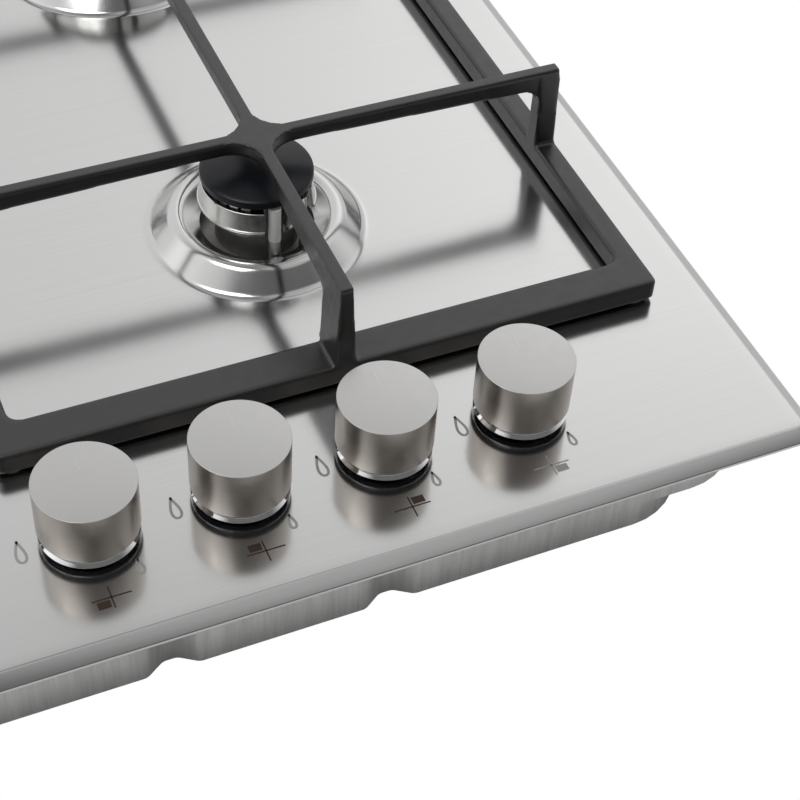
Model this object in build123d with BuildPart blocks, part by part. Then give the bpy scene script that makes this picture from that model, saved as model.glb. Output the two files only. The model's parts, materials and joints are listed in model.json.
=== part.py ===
"""Built-in gas cooktop with four burners, four push-and-turn knobs and two pan supports.

Millimetres. +Z is up, the knobs are along the front edge (-Y). The origin is at the middle of
the tray's underside, so the panel's flat top lies at TRAY_HEIGHT.
"""

from build123d import *
from math import acos, atan2, cos, degrees, pi, radians, sin, tan
import os

os.makedirs("parts", exist_ok=True)

# ---------------------------------------------------------------- driving dimensions

# Pressed stainless panel
PANEL_WIDTH = 590.0
PANEL_DEPTH = 510.0
PANEL_SHEET = 1.0
PANEL_CORNER = 6.0
RIM_BEVEL = 5.5  # plan width of the sloping rim
RIM_DROP = 3.3  # height of the sloping rim
RIM_LIP = 1.2  # height of the upright lip below the slope

# Galvanised tray under the panel
TRAY_HEIGHT = 38.0  # underside of the tray to the top of the panel
TRAY_SHEET = 1.0
TRAY_SETBACK_ENDS = 10.5  # panel edge to tray wall, front and rear
TRAY_SETBACK_SIDES = 17.0  # panel edge to tray wall, left and right
TRAY_CORNER = 30.0
SHOULDER_WIDTH = 23.0  # the tray is shallower along its two sides
SHOULDER_RISE = 13.0
FLANGE_CLEARANCE = 0.5  # between the tray's flange and the rim
GROOVE_PLACES = (-124.5, -42.5, 42.5, 124.5)  # upright stiffening grooves in the front wall
GROOVE_MOUTH = 19.0
GROOVE_FLOOR = 5.0
GROOVE_DEPTH = 4.6
GROOVE_ROUND = 5.0

# Foam seal between rim and worktop
SEAL_WIDTH = 3.0
SEAL_HEIGHT = 3.2

# Screws: one size throughout
SCREW_RADIUS = 2.0
SCREW_HEAD_RADIUS = 4.0
SCREW_HEAD_HEIGHT = 2.4
SCREW_HOLE_CLEARANCE = 0.1
SCREW_GRIP = 4.0  # thickness that each screw clamps onto the sheet

# Knob row
KNOB_COUNT = 4
KNOB_OFFSET = 1.0  # the last knob but one stands in line with the right burners, this far right
KNOB_PITCH = 55.0
KNOB_FRONT = 50.6  # front edge of the panel to the row
KNOB_RADIUS = 18.0
KNOB_TOP = 27.0  # above the panel
KNOB_GAP = 2.3  # under the knob ring at rest
KNOB_WALL = 2.5
KNOB_CAP = 3.0
KNOB_EDGE_ROUND = 0.7
KNOB_BOSS_RADIUS = 7.5
RING_HEIGHT = 2.0
INDEX_START = 5.2  # from the knob's axis to the near end of its index line
INDEX_LENGTH = 10.0
INDEX_WIDTH = 1.0
INDEX_DEPTH = 0.3
PUSH_TRAVEL = 2.0

# Gas taps
SPINDLE_RADIUS = 4.0
SPINDLE_FLAT = 3.0  # axis to the flat of the D
SPINDLE_STEM_RADIUS = 3.0
STEM_FLAT = 2.2
SPINDLE_COLLAR_RADIUS = 5.0
SPINDLE_COLLAR_HEIGHT = 1.5
RUNNING_CLEARANCE = 0.05
TAP_GAP = 3.0  # panel underside to the top of the tap
TAP_HEIGHT = 26.0
TAP_WIDTH = 20.0
TAP_REAR = 9.0  # knob axis to the rear face of the tap
TAP_CAP = 2.0  # wall over the spindle's collar
TAP_FLOOR = 1.7
TAP_CHAMFER = 1.5
PLUG_TOP_RADIUS = 6.0
PLUG_BOTTOM_RADIUS = 4.6
PLUG_HEIGHT = 13.0
PLUG_END_GAP = 0.3
PLUG_SEAT = 1.3  # thickness of the plug's own floor
SPRING_WIRE = 0.35
SPRING_RADIUS = 3.9
SPRING_TURNS = 4
GROMMET_RADIUS = 14.6
GROMMET_RISE = 1.2
GROMMET_NECK = 10.0
GROMMET_UNDER = 12.0
GROMMET_BORE_CLEARANCE = 0.3

# Gas rail
RAIL_RADIUS = 7.0
RAIL_WALL = 1.5
RAIL_AXIS = 14.0  # height of its axis above the tray's underside
RAIL_FRONT = 19.0  # knob row to the rail in front of it
RAIL_OVERHANG = 20.0  # past the outermost tap
RAIL_BEND = 14.0
RAIL_MARGIN = 1.0  # outermost tap to the start of the rail's bend
SEAT_CLEARANCE = 0.05
SADDLE_WIDTH = 14.0
SADDLE_WALL = 3.0
SADDLE_EAR = 20.0  # rail axis to the end of the saddle's ear
SADDLE_SCREW = 14.5  # rail axis to the saddle's screw

# Gas inlet at the rear, in a recess of the tray
INLET_THREAD_RADIUS = 10.48  # G 1/2 male thread
INLET_THREAD_LENGTH = 15.0
INLET_BORE_RADIUS = 6.0
INLET_HEX_RADIUS = 12.2
INLET_HEX_LENGTH = 12.0
INLET_RECESS_WIDTH = 36.0
INLET_RECESS_DEPTH = 18.0
INLET_NECK_RADIUS = 9.5
INLET_HOLE_CLEARANCE = 0.5

# Burner pipes
PIPE_RADIUS = 4.0
PIPE_WALL = 1.0
PIPE_AXIS = 18.0  # height above the tray's underside
PIPE_BEND = 16.0
PIPE_STRAIGHT = 2.0  # between a nut and the next bend
OUTLET_BOSS_RADIUS = 6.0
OUTLET_BOSS_LENGTH = 3.0
NUT_RADIUS = 7.0
NUT_LENGTH = 8.0

# Pan supports, each over two burners
SUPPORT_FRONT = 84.6  # front edge of the panel to the supports
SUPPORT_REAR = 27.4
SUPPORT_SIDE = 27.0
SUPPORT_GAP = 8.0  # between the two supports
SUPPORT_CORNER = 2.5
SUPPORT_INNER_CORNER = 5.0
SUPPORT_FOOT = 1.4  # height of the rubber feet under the bars
END_BAR = 16.0  # width of the front and rear bars
SIDE_BAR = 9.6
BAR_HEIGHT = 9.0
BAR_ROUND = 0.9
ARM_TOP = 46.8  # above the panel
ARM_WIDTH = 5.0
ARM_DEPTH_MIDDLE = 6.2
ARM_DEPTH_END = 11.6
ARM_DEPTH_SIDE = 8.6
ARM_ROOT = 8.0  # radius between a post and the underside of its arm
POST_FOOT_WIDTH = 8.2
POST_OVERHANG = 1.9  # foot of an end post past the inner edge of its bar
POST_LEAN = 1.8  # the outer face leans inwards by this much
HUB_ROUND = 12.0  # plan radius where the arms cross
HUB_REACH = 24.0
FOOT_RADIUS = 4.2
FOOT_STEM_RADIUS = 2.0
FOOT_STEM = 4.0
FOOT_INSET = 6.5

# Burners: the cap radius of each size drives its other radii
BURNER_INSET = 95.4  # outer edge of the support to the burner's axis
CAP_RADIUS_SMALL = 22.6
CAP_RADIUS_MEDIUM = 33.0
CAP_RADIUS_LARGE = 45.5
PLINTH_FOOT = 21.2  # these radii are measured outwards from the cap's edge
PLINTH_CREST = 10.2
PLINTH_HOLE = 0.4
PLINTH_HEIGHT = 9.7
PLINTH_HOLE_HEIGHT = 2.5
PLINTH_CREST_FLAT = 2.4
PLINTH_ROUND = 1.9
CUP_RIM_OUTER = 4.0
CUP_RIM_INNER = 1.2
CUP_RIM_HEIGHT = 1.2
CUP_FLOOR = 3.0
CUP_FLOOR_TOP = -3.0
CUP_COLUMN_RADIUS = 12.0
CUP_FOOT_RADIUS = 21.0
CUP_SCREW = 16.5
GAS_WAY_RADIUS = 2.5
CUP_SEAM = 135.0  # direction of the section that is turned into the cup, clear of its bores
SOCKET_OUTER = -5.6
SOCKET_WALL = 2.3
SOCKET_TOP = 9.0
CROWN_FIT = 0.3
CROWN_SHOULDER = -3.8
CROWN_SPIGOT_WALL = 2.0
CROWN_SPIGOT_LENGTH = 5.5
BAND_FOOT = 1.2  # outer radius of the crown's band at its lower edge
BAND_TOP = -0.2  # the same at its upper edge, for the band tapers
BAND_BASE = 14.9
BAND_LEDGE = 24.6  # height of the ledge on the band
CROWN_RING = -2.6  # outer radius of the ring that carries the cap
CROWN_WALL_INNER = -7.6
CROWN_TOP = 27.0
CROWN_DECK = 2.0
THROAT_RADIUS = 6.0
THROAT_WALL = 2.0
THROAT_LENGTH = 9.0
PORT_WIDTH = 1.5
PORT_SPACING = 5.0  # along the ring that carries the cap
CAP_THICKNESS = 3.4
CAP_CROWN_HEIGHT = 6.4
CAP_ROUND = 1.2
CAP_SKIRT = 2.4
CAP_SKIRT_WALL = 2.0
ELECTRODE_RADIUS = 2.6
ELECTRODE_TOP = 26.3
ELECTRODE_BOTTOM = -12.0
ELECTRODE_INSET = 2.5  # inside the cap's edge
ELECTRODE_ANGLE = -90.0
ELECTRODE_PIN_RADIUS = 0.8
ELECTRODE_PIN = 4.0
PROBE_RADIUS = 1.5
PROBE_TOP = 22.0
PROBE_ANGLE = -45.0
PROBE_COLLAR_RADIUS = 2.6
NOTCH_CLEARANCE = 1.0
ELECTRODE_NOTCH = 10.6  # width of the notch in the crown's band
PROBE_NOTCH = 7.4
FLOOR_BORE_CLEARANCE = 0.05
INJECTOR_HEX_RADIUS = 4.6
INJECTOR_HEX_HEIGHT = 4.0
INJECTOR_THREAD_RADIUS = 3.0
INJECTOR_THREAD_LENGTH = 4.5
INJECTOR_TIP = 2.0
INJECTOR_TAPER = 20.0
INJECTOR_JET_RADIUS = 0.5

# Electrical parts
IGNITER_LENGTH = 62.0
IGNITER_WIDTH = 38.0
IGNITER_HEIGHT = 22.0
IGNITER_CORNER = 2.0
IGNITER_MARGIN = 16.0  # left wall of the tray to the igniter's ear
IGNITER_OUTLET_RADIUS = 3.0
IGNITER_OUTLET_HEIGHT = 5.0
TERMINAL_LENGTH = 44.0
TERMINAL_WIDTH = 24.0
TERMINAL_HEIGHT = 16.0
TERMINAL_MARGIN = 20.0  # left wall of the tray to the terminal block's ear
TERMINAL_REAR = 54.5  # rear wall of the tray to the middle of the terminal block
TERMINAL_WELLS = 3
TERMINAL_WELL_RADIUS = 4.0
GLAND_BORE_RADIUS = 4.0
GLAND_RADIUS = 7.0
GLAND_NUT_RADIUS = 10.0
GLAND_NUT_LENGTH = 6.0
GLAND_REACH = 16.0
GLAND_AXIS = 20.0  # height above the tray's underside

# Worktop clamps
CLAMP_LENGTH = 34.0
CLAMP_WIDTH = 16.0
CLAMP_LIP = 3.0
CLAMP_PLACES = (-150.0, 150.0)  # along each side
TAB_WIDTH = 14.0
TAB_HEIGHT = 13.0
TAB_PLACES = (-150.0, 0.0, 150.0)
TAB_SCREW_DROP = 7.0

# Ventilation slots in the tray's floor
VENT_LENGTH = 40.0
VENT_WIDTH = 5.0
VENT_COUNT = 5
VENT_PITCH = 14.0
VENT_PLACES = (-60.0, 60.0)
VENT_REAR = 54.5  # rear wall of the tray to the middle of the slots

NEAR = 0.01  # how close a corner has to be to the place by which it is picked

# ---------------------------------------------------------------- derived places

HALF_WIDTH = PANEL_WIDTH / 2
HALF_DEPTH = PANEL_DEPTH / 2
PANEL_TOP = TRAY_HEIGHT
PANEL_UNDERSIDE = PANEL_TOP - PANEL_SHEET
RIM_BOTTOM = PANEL_TOP - RIM_DROP - RIM_LIP
TRAY_WIDTH = PANEL_WIDTH - 2 * TRAY_SETBACK_SIDES
TRAY_DEPTH = PANEL_DEPTH - 2 * TRAY_SETBACK_ENDS
TRAY_BASE_WIDTH = TRAY_WIDTH - 2 * SHOULDER_WIDTH
flange_width = PANEL_WIDTH - 2 * (PANEL_SHEET + RIM_BEVEL + FLANGE_CLEARANCE)
flange_depth = PANEL_DEPTH - 2 * (PANEL_SHEET + RIM_BEVEL + FLANGE_CLEARANCE)
SCREW_LENGTH = SCREW_GRIP + TRAY_SHEET
SCREW_HOLE = SCREW_RADIUS + SCREW_HOLE_CLEARANCE

support_width = HALF_WIDTH - SUPPORT_SIDE - SUPPORT_GAP / 2
support_front = -HALF_DEPTH + SUPPORT_FRONT
support_rear = HALF_DEPTH - SUPPORT_REAR
support_depth = support_rear - support_front
support_x = SUPPORT_GAP / 2 + support_width / 2
support_y = (support_front + support_rear) / 2
burner_front = support_front + BURNER_INSET
burner_rear = support_rear - BURNER_INSET
middle_y = (burner_front + burner_rear) / 2

knob_row = -HALF_DEPTH + KNOB_FRONT
in_line_x = support_x + KNOB_OFFSET
knob_steps = range(2 - KNOB_COUNT, 2)  # steps from the knob in line with the burners
knob_places = [(in_line_x + step * KNOB_PITCH, knob_row) for step in knob_steps]
first_knob_x = knob_places[0][0]
last_knob_x = knob_places[-1][0]

# name, centre x, centre y, cap radius, side on which its pipe comes in
burners = [
    ("front_right", support_x, burner_front, CAP_RADIUS_SMALL, 1),
    ("rear_right", support_x, burner_rear, CAP_RADIUS_MEDIUM, -1),
    ("rear_left", -support_x, burner_rear, CAP_RADIUS_MEDIUM, 1),
    ("front_left", -support_x, burner_front, CAP_RADIUS_LARGE, 1),
]

rail_y = knob_row - RAIL_FRONT
rail_x = last_knob_x + TAP_WIDTH / 2 + RAIL_MARGIN + RAIL_BEND  # the run towards the rear
inlet_wall = TRAY_DEPTH / 2 - INLET_RECESS_DEPTH
inlet_face = inlet_wall - TRAY_SHEET
tap_top = PANEL_UNDERSIDE - TAP_GAP
tap_bottom = tap_top - TAP_HEIGHT
plug_bottom = tap_bottom + TAP_FLOOR + PLUG_END_GAP
plug_top = plug_bottom + PLUG_HEIGHT
collar_top = tap_top - TAP_CAP
collar_bottom = collar_top - SPINDLE_COLLAR_HEIGHT
ring_bottom = PANEL_TOP + KNOB_GAP
knob_bottom = ring_bottom + RING_HEIGHT
knob_top = PANEL_TOP + KNOB_TOP
spindle_top = knob_top - KNOB_CAP - 2 * KNOB_EDGE_ROUND

saddle_places = [
    ((knob_places[0][0] + knob_places[1][0]) / 2, rail_y, 0),
    ((knob_places[-2][0] + knob_places[-1][0]) / 2, rail_y, 0),
    (rail_x, 0.0, 90),
]

ear_reach = 2 * SCREW_HEAD_RADIUS  # mounting ears of the electrical parts
igniter_end = -TRAY_BASE_WIDTH / 2 + IGNITER_MARGIN + ear_reach
igniter_place = (igniter_end + IGNITER_LENGTH / 2, middle_y)
terminal_end = -TRAY_BASE_WIDTH / 2 + TERMINAL_MARGIN + ear_reach
terminal_place = (terminal_end + TERMINAL_LENGTH / 2, TRAY_DEPTH / 2 - TERMINAL_REAR)


def upright_section(x, y, z=0.0, turn=0.0):
    """Plane whose sketch has its y along +Z and its x along +X, turned about the vertical."""
    along, across = cos(radians(turn)), sin(radians(turn))
    return Plane(origin=(x, y, z), x_dir=(along, across, 0), z_dir=(across, -along, 0))


def upright_axis(x, y):
    """Vertical axis through a point in plan."""
    return Axis((x, y, 0), (0, 0, 1))


def around(x, y, radius, angle):
    """Point at a radius and an angle about a centre in plan."""
    return (x + radius * cos(radians(angle)), y + radius * sin(radians(angle)))


def tray_outline(width, inset):
    """Plan outline of the tray's wall, moved inwards by the inset."""
    wall = -TRAY_DEPTH / 2 + inset
    run = (GROOVE_MOUTH - GROOVE_FLOOR) / 2
    shift = inset * tan(atan2(GROOVE_DEPTH, run) / 2)
    mouth, floor = GROOVE_MOUTH / 2 + shift, GROOVE_FLOOR / 2 + shift
    with BuildSketch() as outline:
        RectangleRounded(width - 2 * inset, -2 * wall, TRAY_CORNER - inset)
        for groove in GROOVE_PLACES:
            with BuildLine():
                Polyline(
                    (groove - mouth, wall),
                    (groove - floor, wall + GROOVE_DEPTH),
                    (groove + floor, wall + GROOVE_DEPTH),
                    (groove + mouth, wall),
                    close=True,
                )
            make_face(mode=Mode.SUBTRACT)
        reach = max(GROOVE_PLACES) + 2 * mouth
        bends = outline.vertices().filter_by(
            lambda v: v.Y < wall + 2 * GROOVE_DEPTH and abs(v.X) < reach
        )
        fillet(bends, GROOVE_ROUND)
        with Locations((rail_x, TRAY_DEPTH / 2)):
            Rectangle(
                INLET_RECESS_WIDTH + 2 * inset,
                2 * (INLET_RECESS_DEPTH + inset),
                mode=Mode.SUBTRACT,
            )
    return outline.sketch


# ---------------------------------------------------------------- panel

with BuildPart() as top_panel:
    # sloping rim above an upright lip
    with BuildSketch(Plane.XY.offset(RIM_BOTTOM)):
        RectangleRounded(PANEL_WIDTH, PANEL_DEPTH, PANEL_CORNER)
    extrude(amount=RIM_LIP)
    with BuildSketch(Plane.XY.offset(RIM_BOTTOM + RIM_LIP)):
        RectangleRounded(PANEL_WIDTH, PANEL_DEPTH, PANEL_CORNER)
    with BuildSketch(Plane.XY.offset(PANEL_TOP)):
        RectangleRounded(PANEL_WIDTH - 2 * RIM_BEVEL, PANEL_DEPTH - 2 * RIM_BEVEL, PANEL_CORNER)
    loft(ruled=True)
    # hollow underside
    inner_width, inner_depth = PANEL_WIDTH - 2 * PANEL_SHEET, PANEL_DEPTH - 2 * PANEL_SHEET
    inner_bevel = 2 * RIM_BEVEL
    with BuildSketch(Plane.XY.offset(RIM_BOTTOM)):
        RectangleRounded(inner_width, inner_depth, PANEL_CORNER)
    extrude(amount=RIM_LIP, mode=Mode.SUBTRACT)
    with BuildSketch(Plane.XY.offset(RIM_BOTTOM + RIM_LIP)):
        RectangleRounded(inner_width, inner_depth, PANEL_CORNER)
    with BuildSketch(Plane.XY.offset(PANEL_UNDERSIDE)):
        RectangleRounded(inner_width - inner_bevel, inner_depth - inner_bevel, PANEL_CORNER)
    loft(ruled=True, mode=Mode.SUBTRACT)
    # tabs that the tray's side screws pull on
    tab_face = TRAY_WIDTH / 2 - TRAY_SHEET
    with BuildSketch(Plane.XY.offset(PANEL_UNDERSIDE)):
        for side in (-1, 1):
            with Locations(*[(side * (tab_face - SCREW_GRIP / 2), y) for y in TAB_PLACES]):
                Rectangle(SCREW_GRIP, TAB_WIDTH)
    extrude(amount=-TAB_HEIGHT)
    for side in (-1, 1):
        with BuildSketch(Plane.YZ.offset(side * tab_face)):
            with Locations(*[(y, PANEL_UNDERSIDE - TAB_SCREW_DROP) for y in TAB_PLACES]):
                Circle(SCREW_HOLE)
        extrude(amount=-side * SCREW_GRIP, mode=Mode.SUBTRACT)
    # a round opening for each plinth and each tap spindle
    with BuildSketch(Plane.XY.offset(PANEL_TOP)):
        for name, x, y, cap_radius, pipe_side in burners:
            with Locations((x, y)):
                Circle(cap_radius + PLINTH_FOOT)
        with Locations(*knob_places):
            Circle(GROMMET_NECK)
    extrude(amount=-PANEL_SHEET, mode=Mode.SUBTRACT)
    # raised plinths, dished inside down to the burner's opening
    for name, x, y, cap_radius, pipe_side in burners:
        foot, crest = cap_radius + PLINTH_FOOT, cap_radius + PLINTH_CREST
        crest_inner, hole = crest - PLINTH_CREST_FLAT, cap_radius + PLINTH_HOLE
        with BuildSketch(upright_section(x, y, PANEL_TOP)) as plinth:
            with BuildLine():
                Polyline(
                    (foot, 0),
                    (foot - PLINTH_ROUND, 0),
                    (crest, PLINTH_HEIGHT),
                    (crest_inner, PLINTH_HEIGHT),
                    (hole, PLINTH_HOLE_HEIGHT),
                    (hole, PLINTH_HOLE_HEIGHT - PANEL_SHEET),
                    (crest_inner, PLINTH_HEIGHT - PANEL_SHEET),
                    (crest, PLINTH_HEIGHT - PANEL_SHEET),
                    (foot - PLINTH_ROUND, -PANEL_SHEET),
                    (foot, -PANEL_SHEET),
                    close=True,
                )
            make_face()
            bends = plinth.vertices().filter_by(lambda v: hole + NEAR < v.X - x < foot - NEAR)
            fillet(bends, PLINTH_ROUND / 2)
        revolve(axis=upright_axis(x, y))
top_panel.part.label = "top_panel"
export_step(top_panel.part, "parts/top_panel.step")

# ---------------------------------------------------------------- tray

floor_screws = []  # places of the screws that go down into the tray's floor
for x, y, turn in saddle_places:
    along = turn + 90
    floor_screws.append(around(x, y, SADDLE_SCREW, along))
for name, x, y, cap_radius, pipe_side in burners:
    floor_screws.append((x, y - CUP_SCREW))
    floor_screws.append((x, y + CUP_SCREW))
for (x, y), length in ((igniter_place, IGNITER_LENGTH), (terminal_place, TERMINAL_LENGTH)):
    floor_screws.append((x - length / 2 - SCREW_HEAD_RADIUS, y))
    floor_screws.append((x + length / 2 + SCREW_HEAD_RADIUS, y))
clamp_x = TRAY_WIDTH / 2 - SHOULDER_WIDTH / 2
clamp_screws = [(side * clamp_x, y) for side in (-1, 1) for y in CLAMP_PLACES]

with BuildPart() as bottom_tray:
    with BuildSketch():
        add(tray_outline(TRAY_BASE_WIDTH, 0))
    extrude(amount=SHOULDER_RISE)
    with BuildSketch(Plane.XY.offset(SHOULDER_RISE)):
        add(tray_outline(TRAY_WIDTH, 0))
    extrude(amount=PANEL_UNDERSIDE - SHOULDER_RISE)
    with BuildSketch(Plane.XY.offset(PANEL_UNDERSIDE)):
        RectangleRounded(flange_width, flange_depth, PANEL_CORNER)
    extrude(amount=-TRAY_SHEET)
    with BuildSketch(Plane.XY.offset(TRAY_SHEET)):
        add(tray_outline(TRAY_BASE_WIDTH, TRAY_SHEET))
    extrude(amount=SHOULDER_RISE, mode=Mode.SUBTRACT)
    with BuildSketch(Plane.XY.offset(SHOULDER_RISE + TRAY_SHEET)):
        add(tray_outline(TRAY_WIDTH, TRAY_SHEET))
    extrude(amount=PANEL_UNDERSIDE - SHOULDER_RISE, mode=Mode.SUBTRACT)
    # screw holes and ventilation slots in the floor
    with BuildSketch():
        with Locations(*floor_screws):
            Circle(SCREW_HOLE)
        for vent_x in VENT_PLACES:
            with Locations((vent_x, TRAY_DEPTH / 2 - VENT_REAR)):
                with GridLocations(VENT_PITCH, 0, VENT_COUNT, 1):
                    SlotOverall(VENT_LENGTH, VENT_WIDTH, rotation=90)
    extrude(amount=TRAY_SHEET, mode=Mode.SUBTRACT)
    with BuildSketch(Plane.XY.offset(SHOULDER_RISE)):
        with Locations(*clamp_screws):
            Circle(SCREW_HOLE)
    extrude(amount=TRAY_SHEET, mode=Mode.SUBTRACT)
    # screws into the panel's tabs
    for side in (-1, 1):
        with BuildSketch(Plane.YZ.offset(side * TRAY_WIDTH / 2)):
            with Locations(*[(y, PANEL_UNDERSIDE - TAB_SCREW_DROP) for y in TAB_PLACES]):
                Circle(SCREW_HOLE)
        extrude(amount=-side * TRAY_SHEET, mode=Mode.SUBTRACT)
    # gas inlet and cable gland in the rear wall
    with BuildSketch(upright_section(rail_x, inlet_wall)):
        with Locations((0, RAIL_AXIS)):
            Circle(INLET_NECK_RADIUS + INLET_HOLE_CLEARANCE)
    extrude(amount=TRAY_SHEET, mode=Mode.SUBTRACT)
    with BuildSketch(upright_section(terminal_place[0], TRAY_DEPTH / 2)):
        with Locations((0, GLAND_AXIS)):
            Circle(GLAND_RADIUS)
    extrude(amount=TRAY_SHEET, mode=Mode.SUBTRACT)
bottom_tray.part.label = "bottom_tray"
export_step(bottom_tray.part, "parts/bottom_tray.step")

with BuildPart() as worktop_seal:
    with BuildSketch(Plane.XY.offset(PANEL_UNDERSIDE - TRAY_SHEET)):
        RectangleRounded(flange_width, flange_depth, PANEL_CORNER)
        RectangleRounded(
            flange_width - 2 * SEAL_WIDTH,
            flange_depth - 2 * SEAL_WIDTH,
            PANEL_CORNER,
            mode=Mode.SUBTRACT,
        )
    extrude(amount=-SEAL_HEIGHT)
worktop_seal.part.label = "worktop_seal"
export_step(worktop_seal.part, "parts/worktop_seal.step")

with BuildPart() as fixing_clamps:
    # flat strips under the tray's shoulders, each with a lip that grips the worktop
    for side in (-1, 1):
        with BuildSketch(Plane.XY.offset(SHOULDER_RISE)):
            with Locations(*[(side * (clamp_x + CLAMP_WIDTH / 2), y) for y in CLAMP_PLACES]):
                Rectangle(CLAMP_LENGTH, CLAMP_WIDTH)
        extrude(amount=-SCREW_GRIP)
        with BuildSketch(Plane.XY.offset(SHOULDER_RISE)):
            lip_x = clamp_x + CLAMP_WIDTH / 2 + CLAMP_LENGTH / 2 - CLAMP_LIP / 2
            with Locations(*[(side * lip_x, y) for y in CLAMP_PLACES]):
                Rectangle(CLAMP_LIP, CLAMP_WIDTH)
        extrude(amount=CLAMP_LIP)
    with BuildSketch(Plane.XY.offset(SHOULDER_RISE)):
        with Locations(*clamp_screws):
            Circle(SCREW_HOLE)
    extrude(amount=-SCREW_GRIP, mode=Mode.SUBTRACT)
fixing_clamps.part.label = "fixing_clamps"
export_step(fixing_clamps.part, "parts/fixing_clamps.step")

with BuildPart() as housing_screws:
    seat = TRAY_SHEET + SCREW_GRIP
    for face, length, radius in (
        (seat, -SCREW_LENGTH, SCREW_RADIUS),
        (seat, SCREW_HEAD_HEIGHT, SCREW_HEAD_RADIUS),
    ):
        with BuildSketch(Plane.XY.offset(face)):
            with Locations(*floor_screws):
                Circle(radius)
        extrude(amount=length)
    for length, radius in (
        (SCREW_LENGTH, SCREW_RADIUS),
        (-SCREW_HEAD_HEIGHT, SCREW_HEAD_RADIUS),
    ):
        with BuildSketch(Plane.XY.offset(SHOULDER_RISE - SCREW_GRIP)):
            with Locations(*clamp_screws):
                Circle(radius)
        extrude(amount=length)
        for side in (-1, 1):
            with BuildSketch(Plane.YZ.offset(side * TRAY_WIDTH / 2)):
                with Locations(*[(y, PANEL_UNDERSIDE - TAB_SCREW_DROP) for y in TAB_PLACES]):
                    Circle(radius)
            extrude(amount=-side * length)
housing_screws.part.label = "housing_screws"
export_step(housing_screws.part, "parts/housing_screws.step")

# ---------------------------------------------------------------- gas rail and inlet

with BuildPart() as gas_manifold:
    with BuildLine() as rail_route:
        FilletPolyline(
            (first_knob_x - RAIL_OVERHANG, rail_y, RAIL_AXIS),
            (rail_x, rail_y, RAIL_AXIS),
            (rail_x, inlet_face - INLET_HEX_LENGTH, RAIL_AXIS),
            radius=RAIL_BEND,
        )
    rail_start = rail_route.line @ 0
    with BuildSketch(Plane(origin=rail_start, z_dir=rail_route.line % 0)):
        Circle(RAIL_RADIUS)
        Circle(RAIL_RADIUS - RAIL_WALL, mode=Mode.SUBTRACT)
    sweep()
    # plug welded into the closed end
    with BuildSketch(Plane(origin=rail_start, z_dir=rail_route.line % 0)):
        Circle(RAIL_RADIUS)
    extrude(amount=RAIL_WALL)
    # one drilling for each tap
    with BuildSketch(Plane.XZ.offset(-rail_y)):
        with Locations(*[(x, RAIL_AXIS) for x, y in knob_places]):
            Circle(SPINDLE_STEM_RADIUS)
    extrude(amount=-RAIL_RADIUS, mode=Mode.SUBTRACT)
gas_manifold.part.label = "gas_manifold"
export_step(gas_manifold.part, "parts/gas_manifold.step")

with BuildPart() as gas_inlet_union:
    with BuildSketch(upright_section(rail_x, inlet_face - INLET_HEX_LENGTH)):
        with Locations((0, RAIL_AXIS)):
            RegularPolygon(INLET_HEX_RADIUS, 6)
    extrude(amount=-INLET_HEX_LENGTH)
    with BuildSketch(upright_section(rail_x, inlet_face)):
        with Locations((0, RAIL_AXIS)):
            Circle(INLET_NECK_RADIUS)
    extrude(amount=-TRAY_SHEET - INLET_HOLE_CLEARANCE)
    thread_start = inlet_wall + INLET_HOLE_CLEARANCE
    with BuildSketch(upright_section(rail_x, thread_start)):
        with Locations((0, RAIL_AXIS)):
            Circle(INLET_THREAD_RADIUS)
    extrude(amount=-INLET_THREAD_LENGTH)
    thread_end = gas_inlet_union.faces().sort_by(Axis.Y)[-1]
    chamfer(thread_end.edges(), INLET_THREAD_RADIUS - INLET_NECK_RADIUS)
    with BuildSketch(upright_section(rail_x, inlet_face - INLET_HEX_LENGTH)):
        with Locations((0, RAIL_AXIS)):
            Circle(INLET_BORE_RADIUS)
    union_length = thread_start + INLET_THREAD_LENGTH - inlet_face + INLET_HEX_LENGTH
    extrude(amount=-union_length, mode=Mode.SUBTRACT)
gas_inlet_union.part.label = "gas_inlet_union"
export_step(gas_inlet_union.part, "parts/gas_inlet_union.step")

with BuildPart() as manifold_saddles:
    # block under the rail, with an ear for its screw
    for x, y, turn in saddle_places:
        base = Plane((x, y, TRAY_SHEET), x_dir=(cos(radians(turn)), sin(radians(turn)), 0))
        reach = RAIL_RADIUS + SADDLE_WALL
        with BuildSketch(base):
            Rectangle(SADDLE_WIDTH, 2 * reach)
        extrude(amount=RAIL_AXIS - TRAY_SHEET)
        with BuildSketch(base):
            with Locations((0, SADDLE_EAR / 2)):
                Rectangle(SADDLE_WIDTH, SADDLE_EAR)
        extrude(amount=SCREW_GRIP)
        along = (cos(radians(turn)), sin(radians(turn)), 0)
        start = Vector(x, y, RAIL_AXIS) - Vector(*along) * SADDLE_WIDTH
        with BuildSketch(Plane(start, z_dir=along)):
            Circle(RAIL_RADIUS + SEAT_CLEARANCE)
        extrude(amount=2 * SADDLE_WIDTH, mode=Mode.SUBTRACT)
        with BuildSketch(base):
            with Locations((0, SADDLE_SCREW)):
                Circle(SCREW_HOLE)
        extrude(amount=SCREW_GRIP, mode=Mode.SUBTRACT)
manifold_saddles.part.label = "manifold_saddles"
export_step(manifold_saddles.part, "parts/manifold_saddles.step")

# ---------------------------------------------------------------- taps and knobs

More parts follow.
